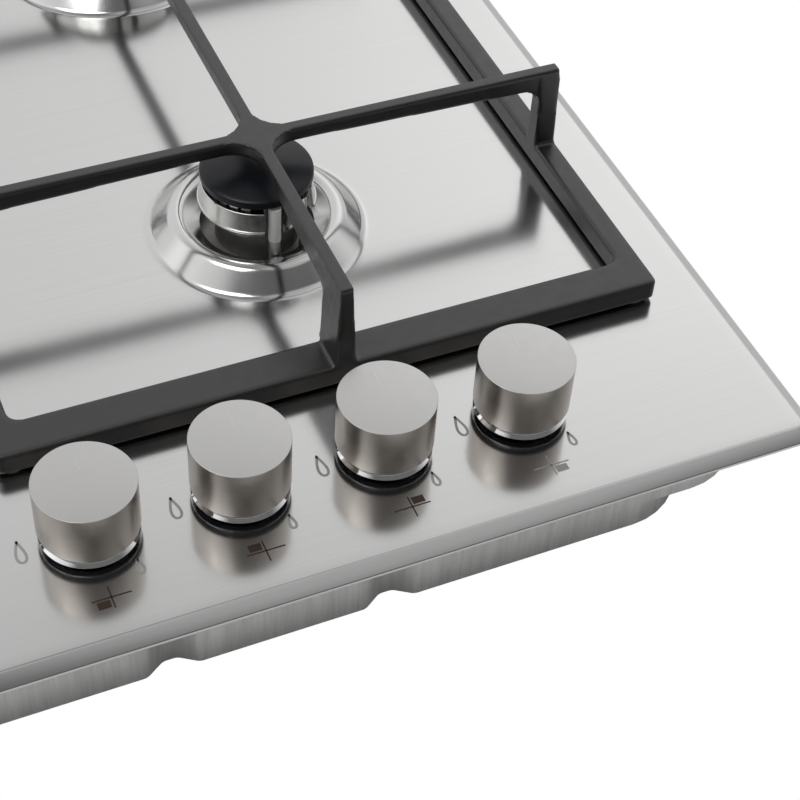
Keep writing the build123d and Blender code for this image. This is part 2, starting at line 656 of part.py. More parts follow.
for number, (x, y) in enumerate(knob_places, start=1):
    axis = upright_axis(x, y)
    rear_face = y + TAP_REAR

    with BuildPart() as valve_body:
        front_face = rail_y + RAIL_RADIUS / 2
        with BuildSketch(Plane.XY.offset(tap_bottom)):
            with Locations((x, (front_face + rear_face) / 2)):
                Rectangle(TAP_WIDTH, rear_face - front_face)
        extrude(amount=TAP_HEIGHT)
        chamfer(valve_body.edges().filter_by(Axis.Z), TAP_CHAMFER)
        # seat on the rail
        with BuildSketch(Plane.YZ.offset(x - TAP_WIDTH)):
            with Locations((rail_y, RAIL_AXIS)):
                Circle(RAIL_RADIUS + SEAT_CLEARANCE)
        extrude(amount=2 * TAP_WIDTH, mode=Mode.SUBTRACT)
        # tapered bore for the plug, chamber for the collar, bore for the spindle
        with BuildSketch(upright_section(x, y)):
            floor = tap_bottom + TAP_FLOOR
            well = PLUG_BOTTOM_RADIUS + RUNNING_CLEARANCE
            chamber = PLUG_TOP_RADIUS + RUNNING_CLEARANCE
            neck = SPINDLE_RADIUS + RUNNING_CLEARANCE
            with BuildLine():
                Polyline(
                    (0, floor),
                    (well, floor),
                    (well, plug_bottom),
                    (chamber, plug_top),
                    (chamber, collar_top),
                    (neck, collar_top),
                    (neck, tap_top),
                    (0, tap_top),
                    close=True,
                )
            make_face()
        revolve(axis=axis, mode=Mode.SUBTRACT)
        # outlet boss with its drilling
        with BuildSketch(upright_section(x, rear_face)):
            with Locations((0, PIPE_AXIS)):
                Circle(OUTLET_BOSS_RADIUS)
        extrude(amount=-OUTLET_BOSS_LENGTH)
        with BuildSketch(upright_section(x, rear_face + OUTLET_BOSS_LENGTH)):
            with Locations((0, PIPE_AXIS)):
                Circle(PIPE_RADIUS - PIPE_WALL)
        extrude(amount=TAP_REAR, mode=Mode.SUBTRACT)
    valve_body.part.label = f"valve_body_{number}"
    export_step(valve_body.part, f"parts/valve_body_{number}.step")

    with BuildPart() as valve_plug:
        with BuildSketch(upright_section(x, y)):
            with BuildLine():
                Polyline(
                    (0, plug_bottom),
                    (PLUG_BOTTOM_RADIUS, plug_bottom),
                    (PLUG_TOP_RADIUS, plug_top),
                    (0, plug_top),
                    close=True,
                )
            make_face()
        revolve(axis=axis)
        # D-shaped socket in which the spindle's stem slides
        with BuildSketch(Plane.XY.offset(plug_bottom + PLUG_SEAT)):
            with Locations((x, y)):
                Circle(SPINDLE_STEM_RADIUS + RUNNING_CLEARANCE)
            with Locations((x, y + STEM_FLAT + RUNNING_CLEARANCE)):
                Rectangle(
                    4 * SPINDLE_STEM_RADIUS,
                    2 * SPINDLE_STEM_RADIUS,
                    align=(Align.CENTER, Align.MIN),
                    mode=Mode.SUBTRACT,
                )
        extrude(amount=PLUG_HEIGHT, mode=Mode.SUBTRACT)
    valve_plug.part.label = f"valve_plug_{number}"
    export_step(valve_plug.part, f"parts/valve_plug_{number}.step")

    with BuildPart() as valve_spindle:
        stem_bottom = plug_bottom + PLUG_SEAT + PUSH_TRAVEL + PLUG_END_GAP
        for bottom, top, radius, flat in (
            (stem_bottom, collar_bottom, SPINDLE_STEM_RADIUS, STEM_FLAT),
            (collar_top, spindle_top, SPINDLE_RADIUS, SPINDLE_FLAT),
        ):
            with BuildSketch(Plane.XY.offset(bottom)):
                with Locations((x, y)):
                    Circle(radius)
                with Locations((x, y + flat)):
                    Rectangle(
                        4 * radius,
                        2 * radius,
                        align=(Align.CENTER, Align.MIN),
                        mode=Mode.SUBTRACT,
                    )
            extrude(amount=top - bottom)
        with BuildSketch(Plane.XY.offset(collar_bottom)):
            with Locations((x, y)):
                Circle(SPINDLE_COLLAR_RADIUS)
        extrude(amount=collar_top - collar_bottom)
    valve_spindle.part.label = f"valve_spindle_{number}"
    export_step(valve_spindle.part, f"parts/valve_spindle_{number}.step")

    with BuildPart() as valve_spring:
        coil_height = collar_bottom - plug_top - 2 * SPRING_WIRE
        with BuildLine() as coil:
            Helix(
                pitch=coil_height / SPRING_TURNS,
                height=coil_height,
                radius=SPRING_RADIUS,
                center=(x, y, plug_top + SPRING_WIRE),
            )
        with BuildSketch(Plane(origin=coil.line @ 0, z_dir=coil.line % 0)):
            Circle(SPRING_WIRE)
        sweep(is_frenet=True)
    valve_spring.part.label = f"valve_spring_{number}"
    export_step(valve_spring.part, f"parts/valve_spring_{number}.step")

    with BuildPart() as knob:
        with BuildSketch(Plane.XY.offset(knob_bottom)):
            with Locations((x, y)):
                Circle(KNOB_RADIUS)
        extrude(amount=knob_top - knob_bottom)
        fillet(knob.edges().group_by(Axis.Z)[-1], KNOB_EDGE_ROUND)
        with BuildSketch(Plane.XY.offset(knob_bottom)):
            with Locations((x, y)):
                Circle(KNOB_RADIUS - KNOB_WALL)
                Circle(KNOB_BOSS_RADIUS, mode=Mode.SUBTRACT)
        extrude(amount=knob_top - KNOB_CAP - knob_bottom, mode=Mode.SUBTRACT)
        with BuildSketch(Plane.XY.offset(knob_bottom)):
            with Locations((x, y)):
                Circle(SPINDLE_RADIUS + RUNNING_CLEARANCE)
            with Locations((x, y + SPINDLE_FLAT + RUNNING_CLEARANCE)):
                Rectangle(
                    4 * SPINDLE_RADIUS,
                    2 * SPINDLE_RADIUS,
                    align=(Align.CENTER, Align.MIN),
                    mode=Mode.SUBTRACT,
                )
        extrude(amount=spindle_top - knob_bottom, mode=Mode.SUBTRACT)
        # index line, towards the rear when the tap is off
        with BuildSketch(Plane.XY.offset(knob_top)):
            with Locations((x, y + INDEX_START + INDEX_LENGTH / 2)):
                SlotOverall(INDEX_LENGTH, INDEX_WIDTH, rotation=90)
        extrude(amount=-INDEX_DEPTH, mode=Mode.SUBTRACT)
    knob.part.label = f"knob_{number}"
    export_step(knob.part, f"parts/knob_{number}.step")

    with BuildPart() as knob_ring:
        with BuildSketch(Plane.XY.offset(ring_bottom)):
            with Locations((x, y)):
                Circle(KNOB_RADIUS)
                Circle(KNOB_RADIUS - KNOB_WALL, mode=Mode.SUBTRACT)
        extrude(amount=RING_HEIGHT)
        outer_edges = knob_ring.edges().filter_by(GeomType.CIRCLE).sort_by(SortBy.RADIUS)[-2:]
        fillet(outer_edges, RING_HEIGHT / 4)
    knob_ring.part.label = f"knob_ring_{number}"
    export_step(knob_ring.part, f"parts/knob_ring_{number}.step")

with BuildPart() as knob_seals:
    # grommet in the panel round each spindle
    for bottom, height, radius in (
        (PANEL_TOP, GROMMET_RISE, GROMMET_RADIUS),
        (PANEL_UNDERSIDE, PANEL_SHEET, GROMMET_NECK),
        (PANEL_UNDERSIDE, -PANEL_SHEET, GROMMET_UNDER),
    ):
        with BuildSketch(Plane.XY.offset(bottom)):
            with Locations(*knob_places):
                Circle(radius)
                Circle(SPINDLE_RADIUS + GROMMET_BORE_CLEARANCE, mode=Mode.SUBTRACT)
        extrude(amount=height)
knob_seals.part.label = "knob_seals"
export_step(knob_seals.part, "parts/knob_seals.step")

# ---------------------------------------------------------------- burners

inlet_ends = {}  # where each pipe meets its burner
for name, x, y, cap_radius, pipe_side in burners:
    axis = upright_axis(x, y)
    section = upright_section(x, y, PANEL_TOP)
    electrode_place = around(x, y, cap_radius - ELECTRODE_INSET, ELECTRODE_ANGLE)
    probe_place = around(x, y, cap_radius - ELECTRODE_INSET, PROBE_ANGLE)
    socket_inner = cap_radius + SOCKET_OUTER - SOCKET_WALL
    tray_floor = TRAY_SHEET - PANEL_TOP
    inlet_ends[name] = x + pipe_side * (CUP_COLUMN_RADIUS + OUTLET_BOSS_LENGTH)

    with BuildPart() as burner_cup:
        with BuildSketch(upright_section(x, y, PANEL_TOP, CUP_SEAM)):
            with BuildLine():
                Polyline(
                    (0, tray_floor),
                    (CUP_FOOT_RADIUS, tray_floor),
                    (CUP_FOOT_RADIUS, tray_floor + SCREW_GRIP),
                    (CUP_COLUMN_RADIUS, tray_floor + SCREW_GRIP),
                    (CUP_COLUMN_RADIUS, CUP_FLOOR_TOP - CUP_FLOOR),
                    (cap_radius + CUP_RIM_OUTER, CUP_FLOOR_TOP - CUP_FLOOR),
                    (cap_radius + CUP_RIM_OUTER, CUP_RIM_HEIGHT),
                    (cap_radius + CUP_RIM_INNER, CUP_RIM_HEIGHT),
                    (cap_radius + CUP_RIM_INNER, CUP_FLOOR_TOP),
                    (cap_radius + SOCKET_OUTER, CUP_FLOOR_TOP),
                    (cap_radius + SOCKET_OUTER, SOCKET_TOP),
                    (socket_inner, SOCKET_TOP),
                    (socket_inner, CUP_FLOOR_TOP),
                    (0, CUP_FLOOR_TOP),
                    close=True,
                )
            make_face()
        revolve(axis=axis)
        # gas way: boss at the side, cross drilling, injector thread
        boss_plane = Plane(
            origin=(x, y, PIPE_AXIS), x_dir=(0, 1, 0), z_dir=(pipe_side, 0, 0)
        )
        with BuildSketch(boss_plane):
            Circle(OUTLET_BOSS_RADIUS)
        extrude(amount=CUP_COLUMN_RADIUS + OUTLET_BOSS_LENGTH)
        with BuildSketch(boss_plane.offset(-GAS_WAY_RADIUS / 2)):
            Circle(GAS_WAY_RADIUS)
        gas_way = CUP_COLUMN_RADIUS + OUTLET_BOSS_LENGTH + GAS_WAY_RADIUS / 2
        extrude(amount=gas_way, mode=Mode.SUBTRACT)
        well_floor = PIPE_AXIS - 2 * GAS_WAY_RADIUS
        with BuildSketch(Plane.XY.offset(well_floor)):
            with Locations((x, y)):
                Circle(INJECTOR_THREAD_RADIUS)
        extrude(amount=PANEL_TOP + CUP_FLOOR_TOP - well_floor, mode=Mode.SUBTRACT)
        # screws in the foot, bores for electrode and probe
        with BuildSketch(Plane.XY.offset(TRAY_SHEET)):
            with Locations((x, y - CUP_SCREW), (x, y + CUP_SCREW)):
                Circle(SCREW_HOLE)
        extrude(amount=SCREW_GRIP, mode=Mode.SUBTRACT)
        with BuildSketch(Plane.XY.offset(PANEL_TOP + CUP_FLOOR_TOP - CUP_FLOOR)):
            with Locations(electrode_place):
                Circle(ELECTRODE_RADIUS + FLOOR_BORE_CLEARANCE)
            with Locations(probe_place):
                Circle(PROBE_RADIUS + FLOOR_BORE_CLEARANCE)
        extrude(amount=CUP_FLOOR + CUP_RIM_HEIGHT - CUP_FLOOR_TOP, mode=Mode.SUBTRACT)
    burner_cup.part.label = f"burner_cup_{name}"
    export_step(burner_cup.part, f"parts/burner_cup_{name}.step")

    with BuildPart() as burner_crown:
        spigot = socket_inner - CROWN_FIT
        band = cap_radius + BAND_FOOT
        ring = cap_radius + CROWN_RING
        deck = BAND_BASE + CROWN_DECK
        spigot_bottom = SOCKET_TOP - CROWN_SPIGOT_LENGTH
        with BuildSketch(section):
            with BuildLine():
                Polyline(
                    (THROAT_RADIUS, BAND_BASE - THROAT_LENGTH),
                    (THROAT_RADIUS + THROAT_WALL, BAND_BASE - THROAT_LENGTH),
                    (THROAT_RADIUS + THROAT_WALL, BAND_BASE),
                    (spigot - CROWN_SPIGOT_WALL, BAND_BASE),
                    (spigot - CROWN_SPIGOT_WALL, spigot_bottom),
                    (spigot, spigot_bottom),
                    (spigot, SOCKET_TOP),
                    (cap_radius + CROWN_SHOULDER, SOCKET_TOP),
                    (cap_radius + CROWN_SHOULDER, BAND_BASE),
                    (band, BAND_BASE),
                    (cap_radius + BAND_TOP, BAND_LEDGE),
                    (ring, BAND_LEDGE),
                    (ring, CROWN_TOP),
                    (cap_radius + CROWN_WALL_INNER, CROWN_TOP),
                    (cap_radius + CROWN_WALL_INNER, deck),
                    (THROAT_RADIUS, deck),
                    close=True,
                )
            make_face()
        revolve(axis=axis)
        # flame ports through the ring above the ledge, closed at the top by the cap
        port_count = round(2 * pi * ring / PORT_SPACING)
        port_length = CROWN_RING - CROWN_WALL_INNER
        with BuildSketch(Plane.XY.offset(PANEL_TOP + BAND_LEDGE)):
            with Locations((x, y)):
                with PolarLocations(ring - port_length / 2, port_count):
                    Rectangle(2 * port_length, PORT_WIDTH)
        extrude(amount=CROWN_TOP - BAND_LEDGE, mode=Mode.SUBTRACT)
        # notches past the electrode and the probe
        for angle, width, radius in (
            (ELECTRODE_ANGLE, ELECTRODE_NOTCH, ELECTRODE_RADIUS),
            (PROBE_ANGLE, PROBE_NOTCH, PROBE_COLLAR_RADIUS),
        ):
            notch_end = cap_radius - ELECTRODE_INSET - radius - NOTCH_CLEARANCE
            start = around(x, y, notch_end, angle)
            with BuildSketch(Plane.XY.offset(PANEL_TOP + SOCKET_TOP)):
                with Locations(Location((*start, 0), angle)):
                    Rectangle(2 * (band - notch_end), width, align=(Align.MIN, Align.CENTER))
            extrude(amount=CROWN_TOP - SOCKET_TOP, mode=Mode.SUBTRACT)
    burner_crown.part.label = f"burner_crown_{name}"
    export_step(burner_crown.part, f"parts/burner_crown_{name}.step")

    with BuildPart() as burner_cap:
        # shallow dome about the axis over a flat underside with a locating skirt
        skirt_outer = cap_radius + CROWN_WALL_INNER - CROWN_FIT
        skirt_inner = skirt_outer - CAP_SKIRT_WALL
        skirt_end = CROWN_TOP - CAP_SKIRT
        rise = CAP_CROWN_HEIGHT - CAP_THICKNESS
        dome_radius = (cap_radius**2 + rise**2) / (2 * rise)
        dome_start = degrees(acos(cap_radius / dome_radius))
        dome_centre = (0, CROWN_TOP + CAP_CROWN_HEIGHT - dome_radius)
        with BuildSketch(section):
            with BuildLine():
                dome = CenterArc(dome_centre, dome_radius, dome_start, 90 - dome_start)
                Polyline(
                    dome @ 1,
                    (0, CROWN_TOP),
                    (skirt_inner, CROWN_TOP),
                    (skirt_inner, skirt_end),
                    (skirt_outer, skirt_end),
                    (skirt_outer, CROWN_TOP),
                    (cap_radius, CROWN_TOP),
                    dome @ 0,
                )
            make_face()
        revolve(axis=axis)
        rims = burner_cap.edges().filter_by(GeomType.CIRCLE)
        rims = rims.filter_by(lambda e: abs(e.radius - cap_radius) < NEAR)
        fillet(rims.sort_by(Axis.Z)[-1], CAP_ROUND)
    burner_cap.part.label = f"burner_cap_{name}"
    export_step(burner_cap.part, f"parts/burner_cap_{name}.step")

with BuildPart() as spark_electrodes:
    for name, x, y, cap_radius, pipe_side in burners:
        place = around(x, y, cap_radius - ELECTRODE_INSET, ELECTRODE_ANGLE)
        for bottom, top, radius in (
            (ELECTRODE_BOTTOM, ELECTRODE_TOP, ELECTRODE_RADIUS),
            (ELECTRODE_BOTTOM - ELECTRODE_PIN, ELECTRODE_BOTTOM, ELECTRODE_PIN_RADIUS),
        ):
            with BuildSketch(Plane.XY.offset(PANEL_TOP + bottom)):
                with Locations(place):
                    Circle(radius)
            extrude(amount=top - bottom)
spark_electrodes.part.label = "spark_electrodes"
export_step(spark_electrodes.part, "parts/spark_electrodes.step")

with BuildPart() as thermocouples:
    for name, x, y, cap_radius, pipe_side in burners:
        place = around(x, y, cap_radius - ELECTRODE_INSET, PROBE_ANGLE)
        collar = CUP_FLOOR_TOP - CUP_FLOOR - PROBE_RADIUS
        for bottom, top, radius in (
            (ELECTRODE_BOTTOM, PROBE_TOP, PROBE_RADIUS),
            (collar, CUP_FLOOR_TOP - CUP_FLOOR, PROBE_COLLAR_RADIUS),
        ):
            with BuildSketch(Plane.XY.offset(PANEL_TOP + bottom)):
                with Locations(place):
                    Circle(radius)
            extrude(amount=top - bottom)
thermocouples.part.label = "thermocouples"
export_step(thermocouples.part, "parts/thermocouples.step")

with BuildPart() as gas_injectors:
    seat = PANEL_TOP + CUP_FLOOR_TOP
    for name, x, y, cap_radius, pipe_side in burners:
        with BuildSketch(Plane.XY.offset(seat)):
            with Locations((x, y)):
                RegularPolygon(INJECTOR_HEX_RADIUS, 6)
        extrude(amount=INJECTOR_HEX_HEIGHT)
        with BuildSketch(Plane.XY.offset(seat)):
            with Locations((x, y)):
                Circle(INJECTOR_THREAD_RADIUS)
        extrude(amount=-INJECTOR_THREAD_LENGTH)
        with BuildSketch(Plane.XY.offset(seat + INJECTOR_HEX_HEIGHT)):
            with Locations((x, y)):
                Circle(INJECTOR_THREAD_RADIUS)
        extrude(amount=INJECTOR_TIP, taper=INJECTOR_TAPER)
        with BuildSketch(Plane.XY.offset(seat - INJECTOR_THREAD_LENGTH)):
            with Locations((x, y)):
                Circle(INJECTOR_JET_RADIUS)
        jet_length = INJECTOR_THREAD_LENGTH + INJECTOR_HEX_HEIGHT + INJECTOR_TIP
        extrude(amount=jet_length, mode=Mode.SUBTRACT)
gas_injectors.part.label = "gas_injectors"
export_step(gas_injectors.part, "parts/gas_injectors.step")

# ---------------------------------------------------------------- pipes from taps to burners

outlet_y = knob_row + TAP_REAR + OUTLET_BOSS_LENGTH
turn_y = outlet_y + NUT_LENGTH + 2 * PIPE_BEND
tap_x = [x for x, y in knob_places]
approach = NUT_LENGTH + PIPE_STRAIGHT + PIPE_BEND
right_lane = inlet_ends["rear_right"] - approach
left_lane = inlet_ends["rear_left"] + approach

# tap number and plan route of each pipe
pipe_routes = {
    "front_left": [
        (tap_x[0], outlet_y),
        (tap_x[0], burner_front),
        (inlet_ends["front_left"], burner_front),
    ],
    "rear_left": [
        (tap_x[1], outlet_y),
        (tap_x[1], middle_y),
        (left_lane, middle_y),
        (left_lane, burner_rear),
        (inlet_ends["rear_left"], burner_rear),
    ],
    "rear_right": [
        (tap_x[2], outlet_y),
        (tap_x[2], turn_y),
        (right_lane, turn_y + 2 * PIPE_BEND),
        (right_lane, burner_rear),
        (inlet_ends["rear_right"], burner_rear),
    ],
    "front_right": [
        (tap_x[3], outlet_y),
        (tap_x[3], burner_front),
        (inlet_ends["front_right"], burner_front),
    ],
}

nut_places = []
for name, route in pipe_routes.items():
    with BuildPart() as gas_pipe:
        with BuildLine() as pipe_route:
            FilletPolyline(*[(px, py, PIPE_AXIS) for px, py in route], radius=PIPE_BEND)
        with BuildSketch(Plane(origin=pipe_route.line @ 0, z_dir=pipe_route.line % 0)):
            Circle(PIPE_RADIUS)
            Circle(PIPE_RADIUS - PIPE_WALL, mode=Mode.SUBTRACT)
        sweep()
    gas_pipe.part.label = f"gas_pipe_{name}"
    export_step(gas_pipe.part, f"parts/gas_pipe_{name}.step")
    nut_places.append((pipe_route.line @ 0, pipe_route.line % 0))
    nut_places.append((pipe_route.line @ 1, (pipe_route.line % 1) * -1))

with BuildPart() as pipe_nuts:
    for end, direction in nut_places:
        with BuildSketch(Plane(origin=end, x_dir=(0, 0, 1), z_dir=direction)):
            RegularPolygon(NUT_RADIUS, 6)
            Circle(PIPE_RADIUS + SEAT_CLEARANCE, mode=Mode.SUBTRACT)
        extrude(amount=NUT_LENGTH)
pipe_nuts.part.label = "pipe_nuts"
export_step(pipe_nuts.part, "parts/pipe_nuts.step")

# ---------------------------------------------------------------- electrical parts

with BuildPart() as igniter_module:
    with BuildSketch(Plane.XY.offset(TRAY_SHEET)):
        with Locations(igniter_place):
            Rectangle(IGNITER_LENGTH, IGNITER_WIDTH)
    extrude(amount=IGNITER_HEIGHT)
    fillet(igniter_module.edges().filter_by(Axis.Z), IGNITER_CORNER)
    ear_length = IGNITER_LENGTH + 2 * ear_reach
    with BuildSketch(Plane.XY.offset(TRAY_SHEET)):
        with Locations(igniter_place):
            Rectangle(ear_length, 2 * SCREW_HEAD_RADIUS)
    extrude(amount=SCREW_GRIP)
    with BuildSketch(Plane.XY.offset(TRAY_SHEET)):
        with Locations(igniter_place):
            with GridLocations(IGNITER_LENGTH + 2 * SCREW_HEAD_RADIUS, 0, 2, 1):
                Circle(SCREW_HOLE)
    extrude(amount=SCREW_GRIP, mode=Mode.SUBTRACT)
    # one high-tension outlet for each burner
    with BuildSketch(Plane.XY.offset(TRAY_SHEET + IGNITER_HEIGHT)):
        with Locations(igniter_place):
            with GridLocations(IGNITER_LENGTH / KNOB_COUNT, 0, KNOB_COUNT, 1):
                Circle(IGNITER_OUTLET_RADIUS)
    extrude(amount=IGNITER_OUTLET_HEIGHT)
igniter_module.part.label = "igniter_module"
export_step(igniter_module.part, "parts/igniter_module.step")

with BuildPart() as terminal_block:
    with BuildSketch(Plane.XY.offset(TRAY_SHEET)):
        with Locations(terminal_place):
            Rectangle(TERMINAL_LENGTH, TERMINAL_WIDTH)
    extrude(amount=TERMINAL_HEIGHT)
    with BuildSketch(Plane.XY.offset(TRAY_SHEET)):
        with Locations(terminal_place):
            Rectangle(TERMINAL_LENGTH + 2 * ear_reach, 2 * SCREW_HEAD_RADIUS)
    extrude(amount=SCREW_GRIP)
    with BuildSketch(Plane.XY.offset(TRAY_SHEET)):
        with Locations(terminal_place):
            with GridLocations(TERMINAL_LENGTH + 2 * SCREW_HEAD_RADIUS, 0, 2, 1):
                Circle(SCREW_HOLE)
    extrude(amount=SCREW_GRIP, mode=Mode.SUBTRACT)
    # three clamping wells: live, neutral and earth
    with BuildSketch(Plane.XY.offset(TRAY_SHEET + TERMINAL_HEIGHT)):
        with Locations(terminal_place):
            with GridLocations(TERMINAL_LENGTH / TERMINAL_WELLS, 0, TERMINAL_WELLS, 1):
                Circle(TERMINAL_WELL_RADIUS)
    extrude(amount=-TERMINAL_HEIGHT / 2, mode=Mode.SUBTRACT)
terminal_block.part.label = "terminal_block"
export_step(terminal_block.part, "parts/terminal_block.step")

with BuildPart() as cable_gland:
    gland_x, gland_wall = terminal_place[0], TRAY_DEPTH / 2
    for start, length, radius, sides in (
        (gland_wall - GLAND_REACH, GLAND_REACH + GLAND_NUT_LENGTH, GLAND_RADIUS, 0),
        (gland_wall - TRAY_SHEET - GLAND_NUT_LENGTH, GLAND_NUT_LENGTH, GLAND_NUT_RADIUS, 6),
        (gland_wall, GLAND_NUT_LENGTH, GLAND_NUT_RADIUS, 6),
    ):
        with BuildSketch(upright_section(gland_x, start)):
            with Locations((0, GLAND_AXIS)):
                if sides:
                    RegularPolygon(radius, sides)
                else:
                    Circle(radius)
        extrude(amount=-length)
    with BuildSketch(upright_section(gland_x, gland_wall - GLAND_REACH)):
        with Locations((0, GLAND_AXIS)):
            Circle(GLAND_BORE_RADIUS)
    extrude(amount=-(GLAND_REACH + GLAND_NUT_LENGTH), mode=Mode.SUBTRACT)
cable_gland.part.label = "cable_gland"
export_step(cable_gland.part, "parts/cable_gland.step")

# ---------------------------------------------------------------- pan supports

bar_bottom = PANEL_TOP + SUPPORT_FOOT
bar_top = bar_bottom + BAR_HEIGHT
arm_top = PANEL_TOP + ARM_TOP


def arm_profile(near, far, post, depth_end, crossings):
    """Side view of one arm between its two posts: (distance, height) corners and the root ones."""
    first, last = crossings
    low_end = arm_top - depth_end
    low_middle = arm_top - ARM_DEPTH_MIDDLE
    stub = low_end - ARM_ROOT
    corners = [
        (near, arm_top),
        (near, stub),
        (near + post, stub),
        (near + post, low_end),
        (first, low_middle),
        (last, low_middle),
        (far - post, low_end),
        (far - post, stub),
        (far, stub),
        (far, arm_top),
    ]
    return corners, [near + post, far - post]


def add_arm(plane, near, far, post, depth_end, crossings):
    """Extrude one arm, with a rounded root at each post, into the part being built."""
    corners, roots = arm_profile(near, far, post, depth_end, crossings)
    with BuildSketch(plane) as side:
        with BuildLine():
            Polyline(*corners, close=True)
        make_face()
        low_end = arm_top - depth_end
        picked = [
            v
            for v in side.sketch_local.vertices()
            if abs(v.Y - low_end) < NEAR and min(abs(v.X - root) for root in roots) < NEAR
        ]
        fillet(picked, ARM_ROOT)
    extrude(side.sketch, amount=ARM_WIDTH / 2, both=True)


def add_post(x, y, outward, width, lean):
    """Tapered post that stands on a bar: outward is the unit step away from the frame's middle."""
    foot_depth = width
    top_depth = width - lean
    across = POST_FOOT_WIDTH
    ox, oy = outward
    with BuildSketch(Plane.XY.offset(bar_top)) as foot:
        with Locations((x - ox * foot_depth / 2, y - oy * foot_depth / 2)):
            Rectangle(
                abs(ox) * foot_depth + abs(oy) * across,
                abs(oy) * foot_depth + abs(ox) * across,
            )
    top_x = x - ox * (lean + top_depth / 2)
    top_y = y - oy * (lean + top_depth / 2)
    with BuildSketch(Plane.XY.offset(arm_top)) as tip:
        with Locations((top_x, top_y)):
            Rectangle(
                abs(ox) * top_depth + abs(oy) * ARM_WIDTH,
                abs(oy) * top_depth + abs(ox) * ARM_WIDTH,
            )
    loft([foot.sketch, tip.sketch], ruled=True)


for side_name, side in (("right", 1), ("left", -1)):
    centre_x = side * support_x
    left_edge = centre_x - support_width / 2
    right_edge = centre_x + support_width / 2
    end_post = END_BAR + POST_OVERHANG

    with BuildPart() as pan_support:
        with BuildSketch(Plane.XY.offset(bar_bottom)):
            with Locations((centre_x, support_y)):
                RectangleRounded(support_width, support_depth, SUPPORT_CORNER)
                RectangleRounded(
                    support_width - 2 * SIDE_BAR,
                    support_depth - 2 * END_BAR,
                    SUPPORT_INNER_CORNER,
                    mode=Mode.SUBTRACT,
                )
        extrude(amount=BAR_HEIGHT)
        fillet(pan_support.edges().group_by(Axis.Z)[-1], BAR_ROUND)
        # posts
        for y, step in ((support_front, -1), (support_rear, 1)):
            add_post(centre_x, y, (0, step), end_post, POST_LEAN)
        for y in (burner_front, burner_rear):
            for x, step in ((left_edge, -1), (right_edge, 1)):
                add_post(x, y, (step, 0), SIDE_BAR, POST_LEAN / 2)
        # the long arm over both burners, then one arm across each burner
        add_arm(
            Plane(origin=(centre_x, 0, 0), x_dir=(0, 1, 0), z_dir=(1, 0, 0)),
            support_front + POST_LEAN,
            support_rear - POST_LEAN,
            end_post - POST_LEAN,
            ARM_DEPTH_END,
            (burner_front, burner_rear),
        )
        for y in (burner_front, burner_rear):
            add_arm(
                Plane(origin=(0, y, 0), x_dir=(1, 0, 0), z_dir=(0, -1, 0)),
                left_edge + POST_LEAN / 2,
                right_edge - POST_LEAN / 2,
                SIDE_BAR - POST_LEAN / 2,
                ARM_DEPTH_SIDE,
                (centre_x - HUB_REACH, centre_x + HUB_REACH),
            )
        # rounded hubs where the arms cross
        for y in (burner_front, burner_rear):
            with BuildSketch(Plane.XY.offset(arm_top)) as hub:
                with Locations((centre_x, y)):
                    Rectangle(2 * HUB_REACH, ARM_WIDTH)
                    Rectangle(ARM_WIDTH, 2 * HUB_REACH)
                inner = [
                    v
                    for v in hub.sketch_local.vertices()
                    if abs(v.X - centre_x) < ARM_WIDTH and abs(v.Y - y) < ARM_WIDTH
                ]
                fillet(inner, HUB_ROUND)
            extrude(amount=-ARM_DEPTH_MIDDLE)
        # sockets for the stems of the rubber feet
        foot_x = support_width / 2 - FOOT_INSET
        foot_y = support_depth / 2 - FOOT_INSET
        with BuildSketch(Plane.XY.offset(bar_bottom)):
            with Locations((centre_x, support_y)):
                with GridLocations(2 * foot_x, 2 * foot_y, 2, 2):
                    Circle(FOOT_STEM_RADIUS)
        extrude(amount=FOOT_STEM, mode=Mode.SUBTRACT)
    pan_support.part.label = f"pan_support_{side_name}"
    export_step(pan_support.part, f"parts/pan_support_{side_name}.step")

    with BuildPart() as support_feet:
        for bottom, height, radius in (
            (PANEL_TOP, SUPPORT_FOOT, FOOT_RADIUS),
            (bar_bottom, FOOT_STEM, FOOT_STEM_RADIUS),
        ):
            with BuildSketch(Plane.XY.offset(bottom)):
                with Locations((centre_x, support_y)):
                    with GridLocations(2 * foot_x, 2 * foot_y, 2, 2):
                        Circle(radius)
            extrude(amount=height)
    support_feet.part.label = f"support_feet_{side_name}"
    export_step(support_feet.part, f"parts/support_feet_{side_name}.step")
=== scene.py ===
"""Looks of the built-in gas cooktop: stainless panel, galvanised tray, cast-iron pan supports.

Metres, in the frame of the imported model: +Z up, knobs along the front edge on -Y.
"""

import json
from math import atan2, cos, pi, radians, sin, tan

import bmesh
import bpy
from mathutils import Matrix, Vector


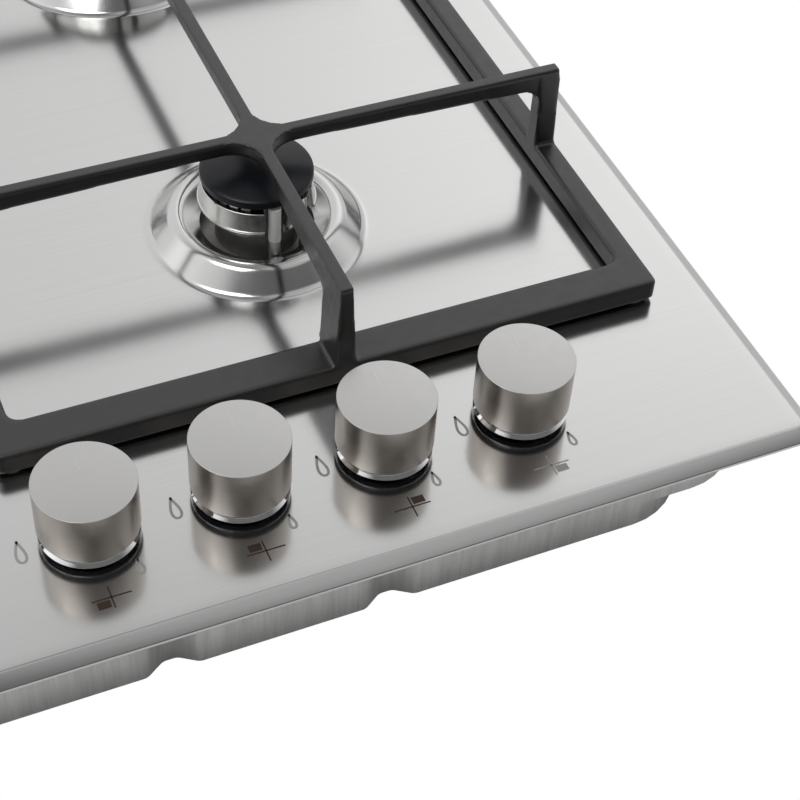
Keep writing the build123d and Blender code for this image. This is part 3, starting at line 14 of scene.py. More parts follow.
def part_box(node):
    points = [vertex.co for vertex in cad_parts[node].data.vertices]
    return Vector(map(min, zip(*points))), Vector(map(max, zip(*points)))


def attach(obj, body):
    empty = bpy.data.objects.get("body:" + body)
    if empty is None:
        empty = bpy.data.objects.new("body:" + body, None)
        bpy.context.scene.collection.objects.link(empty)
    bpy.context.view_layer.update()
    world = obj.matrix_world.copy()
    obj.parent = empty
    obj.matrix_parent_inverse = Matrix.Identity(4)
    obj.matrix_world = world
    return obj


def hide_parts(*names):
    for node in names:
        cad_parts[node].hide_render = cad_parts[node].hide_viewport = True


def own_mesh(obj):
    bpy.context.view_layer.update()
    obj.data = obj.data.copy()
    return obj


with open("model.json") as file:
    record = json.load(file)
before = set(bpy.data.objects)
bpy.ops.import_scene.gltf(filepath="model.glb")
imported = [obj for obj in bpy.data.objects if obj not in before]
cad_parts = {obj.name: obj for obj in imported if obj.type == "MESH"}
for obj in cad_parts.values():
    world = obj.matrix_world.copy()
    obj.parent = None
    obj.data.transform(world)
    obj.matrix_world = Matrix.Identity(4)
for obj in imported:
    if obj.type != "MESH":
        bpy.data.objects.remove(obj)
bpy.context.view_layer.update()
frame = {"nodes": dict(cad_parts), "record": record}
nodes = frame["nodes"]

MM = 0.001

# ---------------------------------------------------------------- sizes

# Panel
PANEL_SHEET = 1.0 * MM
RIM_BEVEL = 5.5 * MM
RIM_DROP = 3.3 * MM
RIM_LIP = 1.2 * MM
RIM_CORNER = 6.0 * MM
RIM_ROUND = 2.2 * MM
RIM_APRON = 5.0 * MM  # flat sheet that belongs to the rim's section
HEM_INSET = 4.0 * MM  # how far the hem reaches in behind the bevel
APRON_STEP = 1.0 * MM

# Plinth round each burner, measured outwards from the cap's edge
PLINTH_FOOT = 21.2 * MM
PLINTH_CREST = 10.2 * MM
PLINTH_HOLE = 0.4 * MM
PLINTH_HEIGHT = 10.4 * MM  # where the slopes would meet without their rounding
PLINTH_HOLE_HEIGHT = 2.5 * MM
PLINTH_ROUND = 5.5 * MM
PLINTH_FILLET = 7.0 * MM
PLINTH_APRON = 4.0 * MM  # flat sheet that belongs to the plinth's section

# Burner cap, heights from the panel, the rest measured inwards from its edge
CAP_UNDER = 27.0 * MM
CAP_RISE = 3.0 * MM  # of the dome over the whole cap
CAP_ROLL = 1.0 * MM  # width of the rolled edge
CAP_SKIRT = (6.9 * MM, 8.9 * MM)  # outside and inside of the ring that centres it

# Burner crown, radii measured outwards from the cap's edge, heights from the panel
BAND_FOOT = 1.2 * MM
BAND_TOP = -0.2 * MM
BAND_BASE = 14.9 * MM
BAND_LEDGE = 24.6 * MM
BAND_BEAD = 0.35 * MM  # how far the roll at the band's foot stands out
BEAD_HEIGHT = 1.5 * MM
CAST_EDGE = 0.3 * MM
CROWN_TOP = 27.0 * MM
CROWN_RING = -2.6 * MM
CROWN_CORE = -6.1 * MM  # floor of the notches
CROWN_INNER = -7.6 * MM
CROWN_SHOULDER = -3.8 * MM
CROWN_SPIGOT = -8.2 * MM
SPIGOT_WALL = 2.0 * MM
SPIGOT_BOTTOM = 3.5 * MM
SOCKET_TOP = 9.0 * MM
CROWN_DECK = 2.0 * MM
THROAT = (6.0 * MM, 8.0 * MM, 5.9 * MM)  # bore, outside, lower end
PORT_WIDTH = 1.5 * MM
PORT_SPACING = 5.0 * MM
NOTCHES = ((-90.0, 10.6 * MM), (-45.0, 7.4 * MM))  # angle, width in the band

# Electrode and probe beside each crown
PIN_INSET = 2.5 * MM
CERAMIC_RADIUS = 2.6 * MM
CERAMIC_FOOT = 9.2 * MM
CERAMIC_TOP = 25.6 * MM
SPARK_TIP = (0.7 * MM, 26.3 * MM)  # radius, height
HOLDER_RADIUS = 2.4 * MM
PIN_BOTTOM = -12.0 * MM
TAIL = (0.8 * MM, -16.0 * MM)
PROBE_RADIUS = 1.5 * MM
PROBE_TOP = 22.0 * MM
PROBE_COLLAR = (2.6 * MM, -7.5 * MM, -6.0 * MM)

# Tray
TRAY_SHEET = 1.0 * MM
TRAY_CORNER = 30.0 * MM
TRAY_SETBACK_ENDS = 10.5 * MM
TRAY_SETBACK_SIDES = 17.0 * MM
SHOULDER_WIDTH = 23.0 * MM
SHOULDER_RISE = 13.0 * MM
GROOVES = (-124.5 * MM, -42.5 * MM, 42.5 * MM, 124.5 * MM)
GROOVE_MOUTH = 19.0 * MM
GROOVE_FLOOR = 5.0 * MM
GROOVE_DEPTH = 4.6 * MM
GROOVE_ROUND = 5.0 * MM
TRAY_EDGE_ROUND = 2.0 * MM
RECESS_HALF = 18.0 * MM
RECESS_DEPTH = 18.0 * MM
FLANGE_CORNER = 6.0 * MM
VENT_HALF = (2.5 * MM, 20.0 * MM)
VENT_PLACES = (-60.0 * MM, 60.0 * MM)
VENT_STEPS = (-28.0 * MM, -14.0 * MM, 0.0, 14.0 * MM, 28.0 * MM)
VENT_REAR = 54.5 * MM
SCREW_HOLE = 2.1 * MM

# Knobs
KNOB_EDGE_ROUND = 0.2 * MM
KNOB_WALL = 2.5 * MM
KNOB_TOP = 3.0 * MM
KNOB_BOSS = 7.5 * MM  # radius
SPINDLE_BORE = (4.2 * MM, 1.4 * MM)  # radius, how far below the shell's ceiling it ends
RING_HEIGHT = 3.7 * MM
RING_WIDTH = 2.5 * MM
INDEX_LIFT = 0.03 * MM
RING_INSET = 0.3 * MM
RING_NECK = 1.6 * MM  # how far the neck stands in from the knob's side
RING_FLARE = (0.12 * MM, 1.3 * MM)  # heights where the flare ends and starts
INDEX_START = 5.2 * MM
INDEX_LENGTH = 10.0 * MM
INDEX_WIDTH = 0.6 * MM
GROMMET_RADIUS = 14.6 * MM
GROMMET_LIP = 4.0 * MM  # how far the seal covers the panel round its hole
SPRING_WIRE = 0.35 * MM  # radius
SPRING_TURNS = 4

# Pan supports
CASTING_VOXEL = 0.8 * MM

# Marks printed on the panel, placed from each knob's axis
MARK_LIFT = 0.04 * MM
FLAME_LARGE = (-24.5 * MM, 0.0, 9.7 * MM, 4.4 * MM)  # x, y, height, width
FLAME_SMALL = (11.5 * MM, -20.1 * MM, 6.4 * MM, 3.0 * MM)
FLAME_STROKE = 1.0 * MM
GLYPH_PLACE = (-1.3 * MM, -29.2 * MM)
GLYPH_WIDTH = 14.0 * MM
GLYPH_HEIGHT = 9.4 * MM
GLYPH_STROKE = 0.55 * MM
GLYPH_SQUARE = (4.6 * MM, 3.1 * MM)
GLYPH_GAP = 0.9 * MM

# Camera, solved from the photograph's perspective
IMAGE = 800.0
CAMERA_PLACE = Vector((-54.9, -598.9, 532.3)) * MM
CAMERA_YAW = radians(27.92)
CAMERA_PITCH = radians(47.81)
CAMERA_ROLL = radians(5.44)
CAMERA_FOCAL_PIXELS = 1819.5
CAMERA_CENTRE_PIXEL = (427.2, 432.15)

# ---------------------------------------------------------------- places from the frame


def centre(node):
    low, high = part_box(node)
    return (Vector(low) + Vector(high)) / 2


panel_high = Vector(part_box("top_panel")[1])
tray_low, tray_high = (Vector(corner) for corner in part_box("bottom_tray"))
panel_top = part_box("support_feet_right")[0][2]
panel_half_x, panel_half_y = panel_high.x, panel_high.y

BURNERS = ("front_right", "rear_right", "rear_left", "front_left")
burners = {}
for name in BURNERS:
    low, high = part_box(f"burner_cap_{name}")
    place = centre(f"burner_cap_{name}")
    burners[name] = (place.x, place.y, (high[0] - low[0]) / 2)
knobs = {k: centre(f"knob_{k}") for k in (1, 2, 3, 4)}

# ---------------------------------------------------------------- mesh helpers


def rounded(points, steps=6, closed=True):
    """Points (x, y, radius) as a polyline whose corners are arcs of their radius."""
    out = []
    count = len(points)
    for i, (x, y, radius) in enumerate(points):
        if radius <= 0 or (not closed and i in (0, count - 1)):
            out.append((x, y))
            continue
        before, after = points[i - 1], points[(i + 1) % count]
        a = Vector((before[0] - x, before[1] - y))
        b = Vector((after[0] - x, after[1] - y))
        turn = a.angle(b)
        if turn > pi - 0.01:
            out.append((x, y))
            continue
        reach = min(radius / tan(turn / 2), a.length * 0.49, b.length * 0.49)
        radius = reach * tan(turn / 2)
        a.normalize()
        b.normalize()
        middle = Vector((x, y)) + (a + b).normalized() * (radius / sin(turn / 2))
        start = Vector((x, y)) + a * reach - middle
        end = Vector((x, y)) + b * reach - middle
        sweep = start.angle_signed(end)
        for k in range(steps + 1):
            spoke = start.copy()
            spoke.rotate(Matrix.Rotation(-sweep * k / steps, 2))
            out.append(tuple(middle + spoke))
    return out


def finish_mesh(name, bm, material, body, sharp=35.0, replaced=()):
    """Makes the object of a bmesh, smooth except over the sharp angle, and lets it ride."""
    bmesh.ops.remove_doubles(bm, verts=bm.verts, dist=1e-6)
    bmesh.ops.recalc_face_normals(bm, faces=bm.faces)
    mesh = bpy.data.meshes.new(name)
    bm.to_mesh(mesh)
    bm.free()
    return finish_object(name, mesh, material, body, sharp, replaced)


def finish_object(name, mesh, material, body, sharp=35.0, replaced=()):
    mesh.polygons.foreach_set("use_smooth", [True] * len(mesh.polygons))
    mesh.set_sharp_from_angle(angle=radians(sharp))
    obj = bpy.data.objects.new(name, mesh)
    bpy.context.scene.collection.objects.link(obj)
    materials = material if isinstance(material, (list, tuple)) else [material]
    if mesh.materials:
        mesh.materials.clear()
    for m in materials:
        mesh.materials.append(m)
    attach(obj, body)
    if replaced:
        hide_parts(*replaced)
    return obj


def bridge(bm, loops, closed=True):
    """Quads between consecutive loops of the same length."""
    for below, above in zip(loops, loops[1:]):
        count = len(below)
        for i in range(count if closed else count - 1):
            j = (i + 1) % count
            face = [below[i], below[j], above[j], above[i]]
            if len(set(face)) == 4:
                bm.faces.new(face)


def add_lathe(bm, profile, place, segments=96, close_profile=True, start=0.0, stop=360.0):
    """Turns a profile of (radius, height) about the vertical through place, into a bmesh."""
    full = stop - start >= 360.0
    turns = segments if full else max(2, int(segments * (stop - start) / 360.0))
    spokes = []
    for k in range(turns if full else turns + 1):
        angle = radians(start + (stop - start) * k / turns)
        spokes.append(
            [
                bm.verts.new((place.x + r * cos(angle), place.y + r * sin(angle), place.z + z))
                for r, z in profile
            ]
        )
    count = len(profile)
    for k in range(turns):
        here, there = spokes[k], spokes[(k + 1) % len(spokes)]
        for i in range(count if close_profile else count - 1):
            j = (i + 1) % count
            if profile[i][0] == 0 and profile[j][0] == 0:
                continue
            bm.faces.new([here[i], there[i], there[j], here[j]])
    if not full and close_profile:
        bm.faces.new(spokes[0])
        bm.faces.new(reversed(spokes[-1]))


def lathe(name, profile, place, material, body, segments=96, sharp=35.0, replaced=(), **kind):
    bm = bmesh.new()
    add_lathe(bm, profile, place, segments, **kind)
    finish_mesh(name, bm, material, body, sharp, replaced)


def add_flat(bm, outer, holes):
    """Fills a flat face between an outer loop and its holes, all lists of bmesh vertices."""
    edges = []
    for loop in [outer, *holes]:
        for a, b in zip(loop, loop[1:] + loop[:1]):
            edges.append(bm.edges.get((a, b)) or bm.edges.new((a, b)))
    bmesh.ops.triangle_fill(bm, use_beauty=True, use_dissolve=False, edges=edges)


def loop_at(bm, points, z):
    return [bm.verts.new((x, y, z)) for x, y in points]


def circle(x, y, radius, count):
    return [
        (x + radius * cos(2 * pi * k / count), y + radius * sin(2 * pi * k / count))
        for k in range(count)
    ]


def rounded_box(half_x, half_y, radius, steps=10):
    corners = [(half_x, -half_y), (half_x, half_y), (-half_x, half_y), (-half_x, -half_y)]
    return rounded([(x, y, radius) for x, y in corners], steps)


# ---------------------------------------------------------------- materials


class Shader:
    """A node material around one Principled shader, with short calls for its textures."""

    def __init__(self, name, colour, metallic=0.0, roughness=0.5, **sockets):
        self.material = bpy.data.materials.new(name)
        self.material.use_nodes = True
        self.tree = self.material.node_tree
        self.shader = self.tree.nodes["Principled BSDF"]
        self.colour = colour
        self.set(**{"Base Color": (*colour, 1.0), "Metallic": metallic, "Roughness": roughness})
        self.set(**sockets)
        self.material.diffuse_color = (*colour, 1.0)
        self.roughness = roughness

    def set(self, **sockets):
        for socket, value in sockets.items():
            self.shader.inputs[socket.replace("_", " ")].default_value = value

    def node(self, kind, **settings):
        made = self.tree.nodes.new(kind)
        for key, value in settings.items():
            setattr(made, key, value)
        return made

    def link(self, a, b):
        self.tree.links.new(a, b)

    def coordinates(self, scale=(1, 1, 1), turn=(0, 0, 0)):
        place = self.node("ShaderNodeTexCoord")
        mapping = self.node("ShaderNodeMapping")
        mapping.inputs["Scale"].default_value = scale
        mapping.inputs["Rotation"].default_value = turn
        self.link(place.outputs["Object"], mapping.inputs["Vector"])
        return mapping.outputs["Vector"]

    def noise(self, scale, stretch=(1, 1, 1), detail=3.0, rough=0.5, turn=(0, 0, 0)):
        noise = self.node("ShaderNodeTexNoise")
        noise.inputs["Scale"].default_value = scale
        noise.inputs["Detail"].default_value = detail
        noise.inputs["Roughness"].default_value = rough
        self.link(self.coordinates(stretch, turn), noise.inputs["Vector"])
        return noise.outputs["Fac"]

    def remap(self, value, low, high, start=0.3, stop=0.7):
        remap = self.node("ShaderNodeMapRange")
        remap.inputs["From Min"].default_value = start
        remap.inputs["From Max"].default_value = stop
        remap.inputs["To Min"].default_value = low
        remap.inputs["To Max"].default_value = high
        self.link(value, remap.inputs["Value"])
        return remap.outputs["Result"]

    def tint(self, value, low, high, start=0.3, stop=0.7):
        """Base colour between low and high times the material's own colour."""
        ramp = self.node("ShaderNodeValToRGB")
        ramp.color_ramp.elements[0].position = start
        ramp.color_ramp.elements[1].position = stop
        ramp.color_ramp.elements[0].color = (*[c * low for c in self.colour], 1.0)
        ramp.color_ramp.elements[1].color = (*[min(1.0, c * high) for c in self.colour], 1.0)
        self.link(value, ramp.inputs["Fac"])
        self.link(ramp.outputs["Color"], self.shader.inputs["Base Color"])

    def vary_roughness(self, value, low, high):
        self.link(self.remap(value, low, high), self.shader.inputs["Roughness"])

    def bump(self, value, distance, strength=1.0):
        bump = self.node("ShaderNodeBump")
        bump.inputs["Distance"].default_value = distance
        bump.inputs["Strength"].default_value = strength
        previous = self.shader.inputs["Normal"].links
        if previous:
            self.link(previous[0].from_socket, bump.inputs["Normal"])
        self.link(value, bump.inputs["Height"])
        self.link(bump.outputs["Normal"], self.shader.inputs["Normal"])

    def brushed(self, along, anisotropy):
        """Stretches highlights across the brushing, along the given direction."""
        tangent = self.node("ShaderNodeCombineXYZ")
        for socket, value in zip(tangent.inputs, along):
            socket.default_value = value
        self.link(tangent.outputs["Vector"], self.shader.inputs["Tangent"])
        self.set(Anisotropic=anisotropy)


def brushed_panel():
    s = Shader("stainless_panel", (0.66, 0.66, 0.655), 1.0, 0.17)
    lines = s.noise(1.0, (6, 2600, 2600), 2.0, 0.6)
    s.tint(lines, 0.975, 1.012)
    patches = s.noise(9.0, (1, 1, 1), 2.0)
    s.vary_roughness(patches, 0.13, 0.17)
    s.bump(lines, 0.0000018, 0.4)
    s.brushed((0, 1, 0), 0.5)
    return s.material


def galvanised():
    s = Shader("galvanised_tray", (0.76, 0.76, 0.75), 1.0, 0.36)
    streaks = s.noise(1.0, (420, 420, 22), 3.0, 0.65)
    s.tint(streaks, 0.88, 1.06, 0.32, 0.68)
    cloud = s.noise(60.0, (1, 1, 0.4), 3.0)
    s.vary_roughness(cloud, 0.28, 0.48)
    s.bump(streaks, 0.00003, 0.5)
    return s.material


def cast_iron():
    s = Shader("cast_iron", (0.004, 0.004, 0.0044), 0.0, 0.36)
    s.set(Specular_IOR_Level=0.95)
    grain = s.noise(2200.0, detail=3.0, rough=0.6)
    s.tint(grain, 0.75, 1.35)
    s.vary_roughness(s.noise(260.0, detail=2.0), 0.31, 0.4)
    s.bump(grain, 0.00005, 0.45)
    s.bump(s.noise(320.0, detail=2.0), 0.00006, 0.3)
    return s.material


def knob_metal(name, colour, roughness, relief=0.4):
    s = Shader(name, colour, 1.0, roughness)
    grain = s.noise(3500.0, detail=2.0)
    s.tint(grain, 0.97, 1.03)
    s.vary_roughness(s.noise(300.0, detail=2.0), roughness * 0.93, roughness * 1.07)
    s.bump(grain, 0.000006, relief)
    return s.material


def bright_metal(name, colour, roughness, spots=0.08):
    s = Shader(name, colour, 1.0, roughness)
    smear = s.noise(400.0, detail=3.0)
    s.tint(smear, 1.0 - spots, 1.0 + spots / 2)
    s.vary_roughness(smear, roughness * 0.8, roughness * 1.25)
    return s.material


def cast_metal(name, colour, roughness, grain_size=0.0006):
    s = Shader(name, colour, 1.0, roughness)
    grain = s.noise(1.0 / grain_size, detail=3.0, rough=0.6)
    s.tint(grain, 0.85, 1.1)
    s.vary_roughness(s.noise(200.0, detail=2.0), roughness * 0.9, roughness * 1.15)
    s.bump(grain, 0.00004, 0.5)
    return s.material


def enamel():
    s = Shader("black_enamel", (0.0042, 0.005, 0.0085), 0.0, 0.36)
    s.set(Specular_IOR_Level=0.36)
    orange_peel = s.noise(900.0, detail=2.0)
    s.tint(orange_peel, 0.9, 1.15)
    s.vary_roughness(s.noise(120.0, detail=2.0), 0.33, 0.4)
    s.bump(orange_peel, 0.00001, 0.5)
    return s.material


def moulded(name, colour, roughness, subsurface=0.0):
    s = Shader(name, colour, 0.0, roughness)
    if subsurface:
        s.set(Subsurface_Weight=subsurface, Subsurface_Scale=0.002)
    grain = s.noise(1800.0, detail=2.0)
    s.tint(grain, 0.94, 1.06)
    s.vary_roughness(s.noise(150.0, detail=2.0), roughness * 0.9, roughness * 1.1)
    s.bump(grain, 0.00002, 0.5)
    return s.material


def print_ink(name, colour):
    s = Shader(name, colour, 0.0, 0.45)
    s.tint(s.noise(2500.0, detail=2.0), 0.9, 1.15)
    return s.material


SLOTS = {
    "brushed_stainless": brushed_panel(),
    "galvanised_steel": galvanised(),
    "cast_iron": cast_iron(),
    "black_enamel": enamel(),
    "cast_aluminium": cast_metal("cast_aluminium", (0.42, 0.42, 0.42), 0.42),
    "polished_aluminium": bright_metal("polished_aluminium", (0.74, 0.74, 0.73), 0.16),
    "chrome": bright_metal("chrome", (0.86, 0.86, 0.87), 0.06, 0.03),
    "knob_metal": knob_metal("knob_metal", (0.57, 0.565, 0.555), 0.34),
    "brass": bright_metal("brass", (0.66, 0.47, 0.20), 0.28),
    "black_rubber": moulded("black_rubber", (0.012, 0.012, 0.012), 0.6),
    "clear_rubber": moulded("clear_rubber", (0.62, 0.62, 0.61), 0.32, 0.4),
    "zinc_steel": bright_metal("zinc_steel", (0.58, 0.58, 0.56), 0.33),
    "white_ceramic": moulded("white_ceramic", (0.88, 0.88, 0.86), 0.25, 0.1),
    "black_plastic": moulded("black_plastic", (0.016, 0.016, 0.018), 0.4),
    "white_plastic": moulded("white_plastic", (0.70, 0.70, 0.68), 0.4),
}
# Darker, browner copy of the knob metal for the knob's upright sides: painted shade and a
# painted warm reflection
KNOB_SIDE_PAINTED_SHADE = knob_metal("knob_side_painted_shade", (0.48, 0.442, 0.405), 0.3, 0.1)
# Darker copy of the cast aluminium for the burner cups: painted shade in the hole under each
# crown
CUP_PAINTED_SHADE = cast_metal("burner_cup_painted_shade", (0.30, 0.295, 0.285), 0.5)
INK = print_ink("mark_brown", (0.035, 0.018, 0.012))
INK_GREY = print_ink("mark_grey", (0.30, 0.295, 0.29))
INK_FLAME = print_ink("flame_grey", (0.40, 0.395, 0.39))
CROWN_BAND = bright_metal("crown_band", (0.70, 0.695, 0.675), 0.2, 0.05)
INDEX_LINE = bright_metal("index_line", (0.62, 0.615, 0.605), 0.3, 0.03)

for row in frame["record"]["subparts"]:
    node = nodes[row["node"]]
    node.data.materials.clear()
    # burner cups take the darker copy: painted shade
    cup_in_shade = row["node"].startswith("burner_cup")
    node.data.materials.append(CUP_PAINTED_SHADE if cup_in_shade else SLOTS[row["material_slot"]])

# ---------------------------------------------------------------- panel

CIRCLE = 128


def build_panel():
    bm = bmesh.new()
    holes = []
    for x, y, cap_radius in burners.values():
        foot = cap_radius + PLINTH_FOOT
        crest = cap_radius + PLINTH_CREST
        hole = cap_radius + PLINTH_HOLE
        corners = [
            (foot + PLINTH_APRON, 0, 0),
            (foot - 0.4 * MM, 0, PLINTH_FILLET),
            (crest, PLINTH_HEIGHT, PLINTH_ROUND),
            (hole, PLINTH_HOLE_HEIGHT, 0.4 * MM),
            (hole, PLINTH_HOLE_HEIGHT - PANEL_SHEET, 0),
        ]
        loops = [
            loop_at(bm, circle(x, y, radius, CIRCLE), panel_top + z)
            for radius, z in [(foot + PLINTH_APRON + APRON_STEP, 0)]
            + rounded(corners, 10, closed=False)
        ]
        bridge(bm, loops)
        holes.append(loops[0])
    for place in knobs.values():
        edge = GROMMET_RADIUS - GROMMET_LIP
        loops = [
            loop_at(bm, circle(place.x, place.y, radius, 64), panel_top - drop)
            for radius, drop in ((edge + APRON_STEP, 0), (edge, 0), (edge, PANEL_SHEET))
        ]
        bridge(bm, loops)
        holes.append(loops[0])
    # rim: flat, rounded bend, slope, rounded bend, upright lip and its hem underneath
    drop = RIM_DROP + RIM_LIP
    section = rounded(
        [
            (-RIM_BEVEL - RIM_APRON, 0, 0),
            (-RIM_BEVEL, 0, RIM_ROUND),
            (-0.15 * MM, -RIM_DROP, 0.8 * MM),
            (0, -drop, 0.3 * MM),
            (-PANEL_SHEET, -drop, 0.3 * MM),
            (-PANEL_SHEET, -drop + RIM_LIP, 0.3 * MM),
            (-RIM_BEVEL - PANEL_SHEET, -PANEL_SHEET, 1.2 * MM),
            (-RIM_BEVEL - HEM_INSET, -PANEL_SHEET, 0),
        ],
        6,
        closed=False,
    )
    section.insert(0, (-RIM_BEVEL - RIM_APRON - APRON_STEP, 0))
    loops = []
    for inset, z in section:
        corner = max(RIM_CORNER + inset * 0.35, 1.5 * MM)
        outline = rounded_box(panel_half_x + inset, panel_half_y + inset, corner)
        loops.append(loop_at(bm, outline, panel_top + z))
    bridge(bm, loops)
    add_flat(bm, loops[0], holes)
    # underside of the flat sheet
    inset = RIM_BEVEL + HEM_INSET
    outline = rounded_box(panel_half_x - inset, panel_half_y - inset, 2 * MM)
    under = loop_at(bm, outline, panel_top - PANEL_SHEET)
    under_holes = []
    for x, y, cap_radius in burners.values():
        under_holes.append(
            loop_at(bm, circle(x, y, cap_radius + PLINTH_FOOT, CIRCLE), panel_top - PANEL_SHEET)
        )
    add_flat(bm, under, under_holes)
    finish_mesh("panel", bm, SLOTS["brushed_stainless"], "housing", 40, ["top_panel"])


build_panel()

# ---------------------------------------------------------------- tray


def tray_path(half_x, inset, steps=8):
    """Outline of the tray's wall in plan, with its grooves in front and the recess behind."""
    half_y = panel_half_y - TRAY_SETBACK_ENDS - inset
    half_x -= inset
    shift = inset * tan(atan2(GROOVE_DEPTH, (GROOVE_MOUTH - GROOVE_FLOOR) / 2) / 2)
    mouth, floor = GROOVE_MOUTH / 2 + shift, GROOVE_FLOOR / 2 + shift
    corner = TRAY_CORNER - inset
    points = [(-half_x, -half_y, corner)]
    for place in GROOVES:
        points += [
            (place - mouth, -half_y, GROOVE_ROUND),
            (place - floor, -half_y + GROOVE_DEPTH, GROOVE_ROUND),
            (place + floor, -half_y + GROOVE_DEPTH, GROOVE_ROUND),
            (place + mouth, -half_y, GROOVE_ROUND),
        ]
    points += [(half_x, -half_y, corner), (half_x, half_y, corner)]
    recess = centre("gas_inlet_union")
    recess_half = RECESS_HALF + inset
    recess_y = half_y - RECESS_DEPTH
    points += [
        (recess.x + recess_half, half_y, 0.4 * MM),
        (recess.x + recess_half, recess_y, 1.0 * MM),
        (recess.x - recess_half, recess_y, 1.0 * MM),
        (recess.x - recess_half, half_y, 0.4 * MM),
    ]
    points.append((-half_x, half_y, corner))
    return rounded(points, steps)


def screw_ends(level):
    """Middle of each housing screw that ends at a level."""
    node = nodes["housing_screws"]
    ends = []
    for vertex in node.data.vertices:
        point = node.matrix_world @ vertex.co
        if abs(point.z - level) > 0.05 * MM:
            continue
        for end in ends:
            if (end[0] - point).length < 3 * SCREW_HOLE:
                end.append(point)
                break
        else:
            ends.append([point])
    middles = []
    for end in ends:
        xs, ys = [point.x for point in end], [point.y for point in end]
        middles.append(((min(xs) + max(xs)) / 2, (min(ys) + max(ys)) / 2))
    return middles


def build_tray():
    bm = bmesh.new()
    floor, ceiling = tray_low.z, tray_high.z
    half_top = panel_half_x - TRAY_SETBACK_SIDES
    half_base = half_top - SHOULDER_WIDTH
    shoulder = floor + SHOULDER_RISE

    def wall(half, inset, z):
        return loop_at(bm, tray_path(half, inset), z)

    outside = []
    for k in range(7):
        turn = radians(90 * k / 6)
        inset, lift = TRAY_EDGE_ROUND * (1 - sin(turn)), TRAY_EDGE_ROUND * (1 - cos(turn))
        outside.append(wall(half_base, inset, floor + lift))
    outside += [wall(half_base, 0, shoulder), wall(half_top, 0, shoulder)]
    outside.append(wall(half_top, 0, ceiling - TRAY_SHEET))
    bridge(bm, outside)
    inside = [
        wall(half_base, TRAY_SHEET, floor + TRAY_SHEET),
        wall(half_base, TRAY_SHEET, shoulder + TRAY_SHEET),
        wall(half_top, TRAY_SHEET, shoulder + TRAY_SHEET),
        wall(half_top, TRAY_SHEET, ceiling),
    ]
    bridge(bm, inside)
    # flange
    rim = rounded_box(tray_high.x, tray_high.y, FLANGE_CORNER)
    under, over = loop_at(bm, rim, ceiling - TRAY_SHEET), loop_at(bm, rim, ceiling)
    bridge(bm, [under, over])
    add_flat(bm, under, [outside[-1]])
    add_flat(bm, over, [inside[-1]])
    # floor with its ventilation slots and screw holes
    openings = [circle(x, y, SCREW_HOLE, 24) for x, y in screw_ends(floor)]
    vent_y = panel_half_y - TRAY_SETBACK_ENDS - VENT_REAR
    for vent_x in VENT_PLACES:
        for step in VENT_STEPS:
            slot = rounded_box(*VENT_HALF, VENT_HALF[0] * 0.98, 8)
            openings.append([(vent_x + step + x, vent_y + y) for x, y in slot])
    low = [loop_at(bm, opening, floor) for opening in openings]
    high = [loop_at(bm, opening, floor + TRAY_SHEET) for opening in openings]
    for pair in zip(low, high):
        bridge(bm, pair)
    add_flat(bm, outside[0], low)
    add_flat(bm, inside[0], high)
    finish_mesh("tray", bm, SLOTS["galvanised_steel"], "housing", 30, ["bottom_tray"])


build_tray()

# ---------------------------------------------------------------- knobs


def build_knob(k, place):
    body = f"control_{k}"
    low, high = (Vector(corner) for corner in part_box(f"knob_{k}"))
    ring_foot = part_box(f"knob_ring_{k}")[0][2]
    radius = (high.x - low.x) / 2
    height = high.z - ring_foot - RING_HEIGHT
    base = Vector((place.x, place.y, ring_foot + RING_HEIGHT))
    # metal shell, hollow from below
    ceiling = height - KNOB_TOP
    bore, sink = SPINDLE_BORE
    profile = rounded(
        [
            (0, height, 0),
            (radius, height, KNOB_EDGE_ROUND),
            (radius, 0, 0.2 * MM),
            (radius - KNOB_WALL, 0, 0.2 * MM),
            (radius - KNOB_WALL, ceiling, 1.0 * MM),
            (KNOB_BOSS, ceiling, 1.0 * MM),
            (KNOB_BOSS, 0, 0.4 * MM),
            (bore, 0, 0.2 * MM),
            (bore, ceiling - sink, 0),
            (0, ceiling - sink, 0),
        ],
        8,
        closed=False,
    )
    bm = bmesh.new()
    add_lathe(bm, profile, base, 160, close_profile=False)
    bm.normal_update()
    for face in bm.faces:
        middle = face.calc_center_median()
        # faces at the shell's foot take black plastic: painted shade under the knob
        if middle.z < base.z + 0.1 * MM:
            face.material_index = 2
        # upright faces take the darker copy: painted shade on the knob's sides
        elif abs(face.normal.z) < 0.3:
            face.material_index = 1
    finish_mesh(
        f"knob_shell_{k}",
        bm,
        [SLOTS["knob_metal"], KNOB_SIDE_PAINTED_SHADE, SLOTS["black_plastic"]],
        body,
        40,
        [f"knob_{k}"],
    )
    # index line, a thin bright stroke laid on the knob's top
    bm = bmesh.new()
    half = INDEX_WIDTH / 2
    stroke = rounded(
        [
            (-half, INDEX_START, half),
            (half, INDEX_START, half),
            (half, INDEX_START + INDEX_LENGTH, half),
            (-half, INDEX_START + INDEX_LENGTH, half),
        ],
        5,
    )
    rim = [(place.x + x, place.y + y) for x, y in stroke]
    bm.faces.new(loop_at(bm, rim, high.z + INDEX_LIFT))
    finish_mesh(f"knob_index_{k}", bm, INDEX_LINE, body, 40)
    # polished ring at the knob's foot
    profile = rounded(
        [
            (radius - RING_WIDTH, 0, 0.2 * MM),
            (radius - RING_INSET, 0, 0.05 * MM),
            (radius - RING_INSET, RING_FLARE[0], 0.05 * MM),
            (radius - RING_NECK, RING_FLARE[1], 1.0 * MM),
            (radius - RING_NECK, RING_HEIGHT, 0),
            (radius - RING_WIDTH, RING_HEIGHT, 0),
        ],
        8,
    )
    lathe(
        f"knob_bright_ring_{k}",
        profile,
        Vector((place.x, place.y, ring_foot)),
        SLOTS["chrome"],
        body,
        160,
        40,
        [f"knob_ring_{k}"],
    )


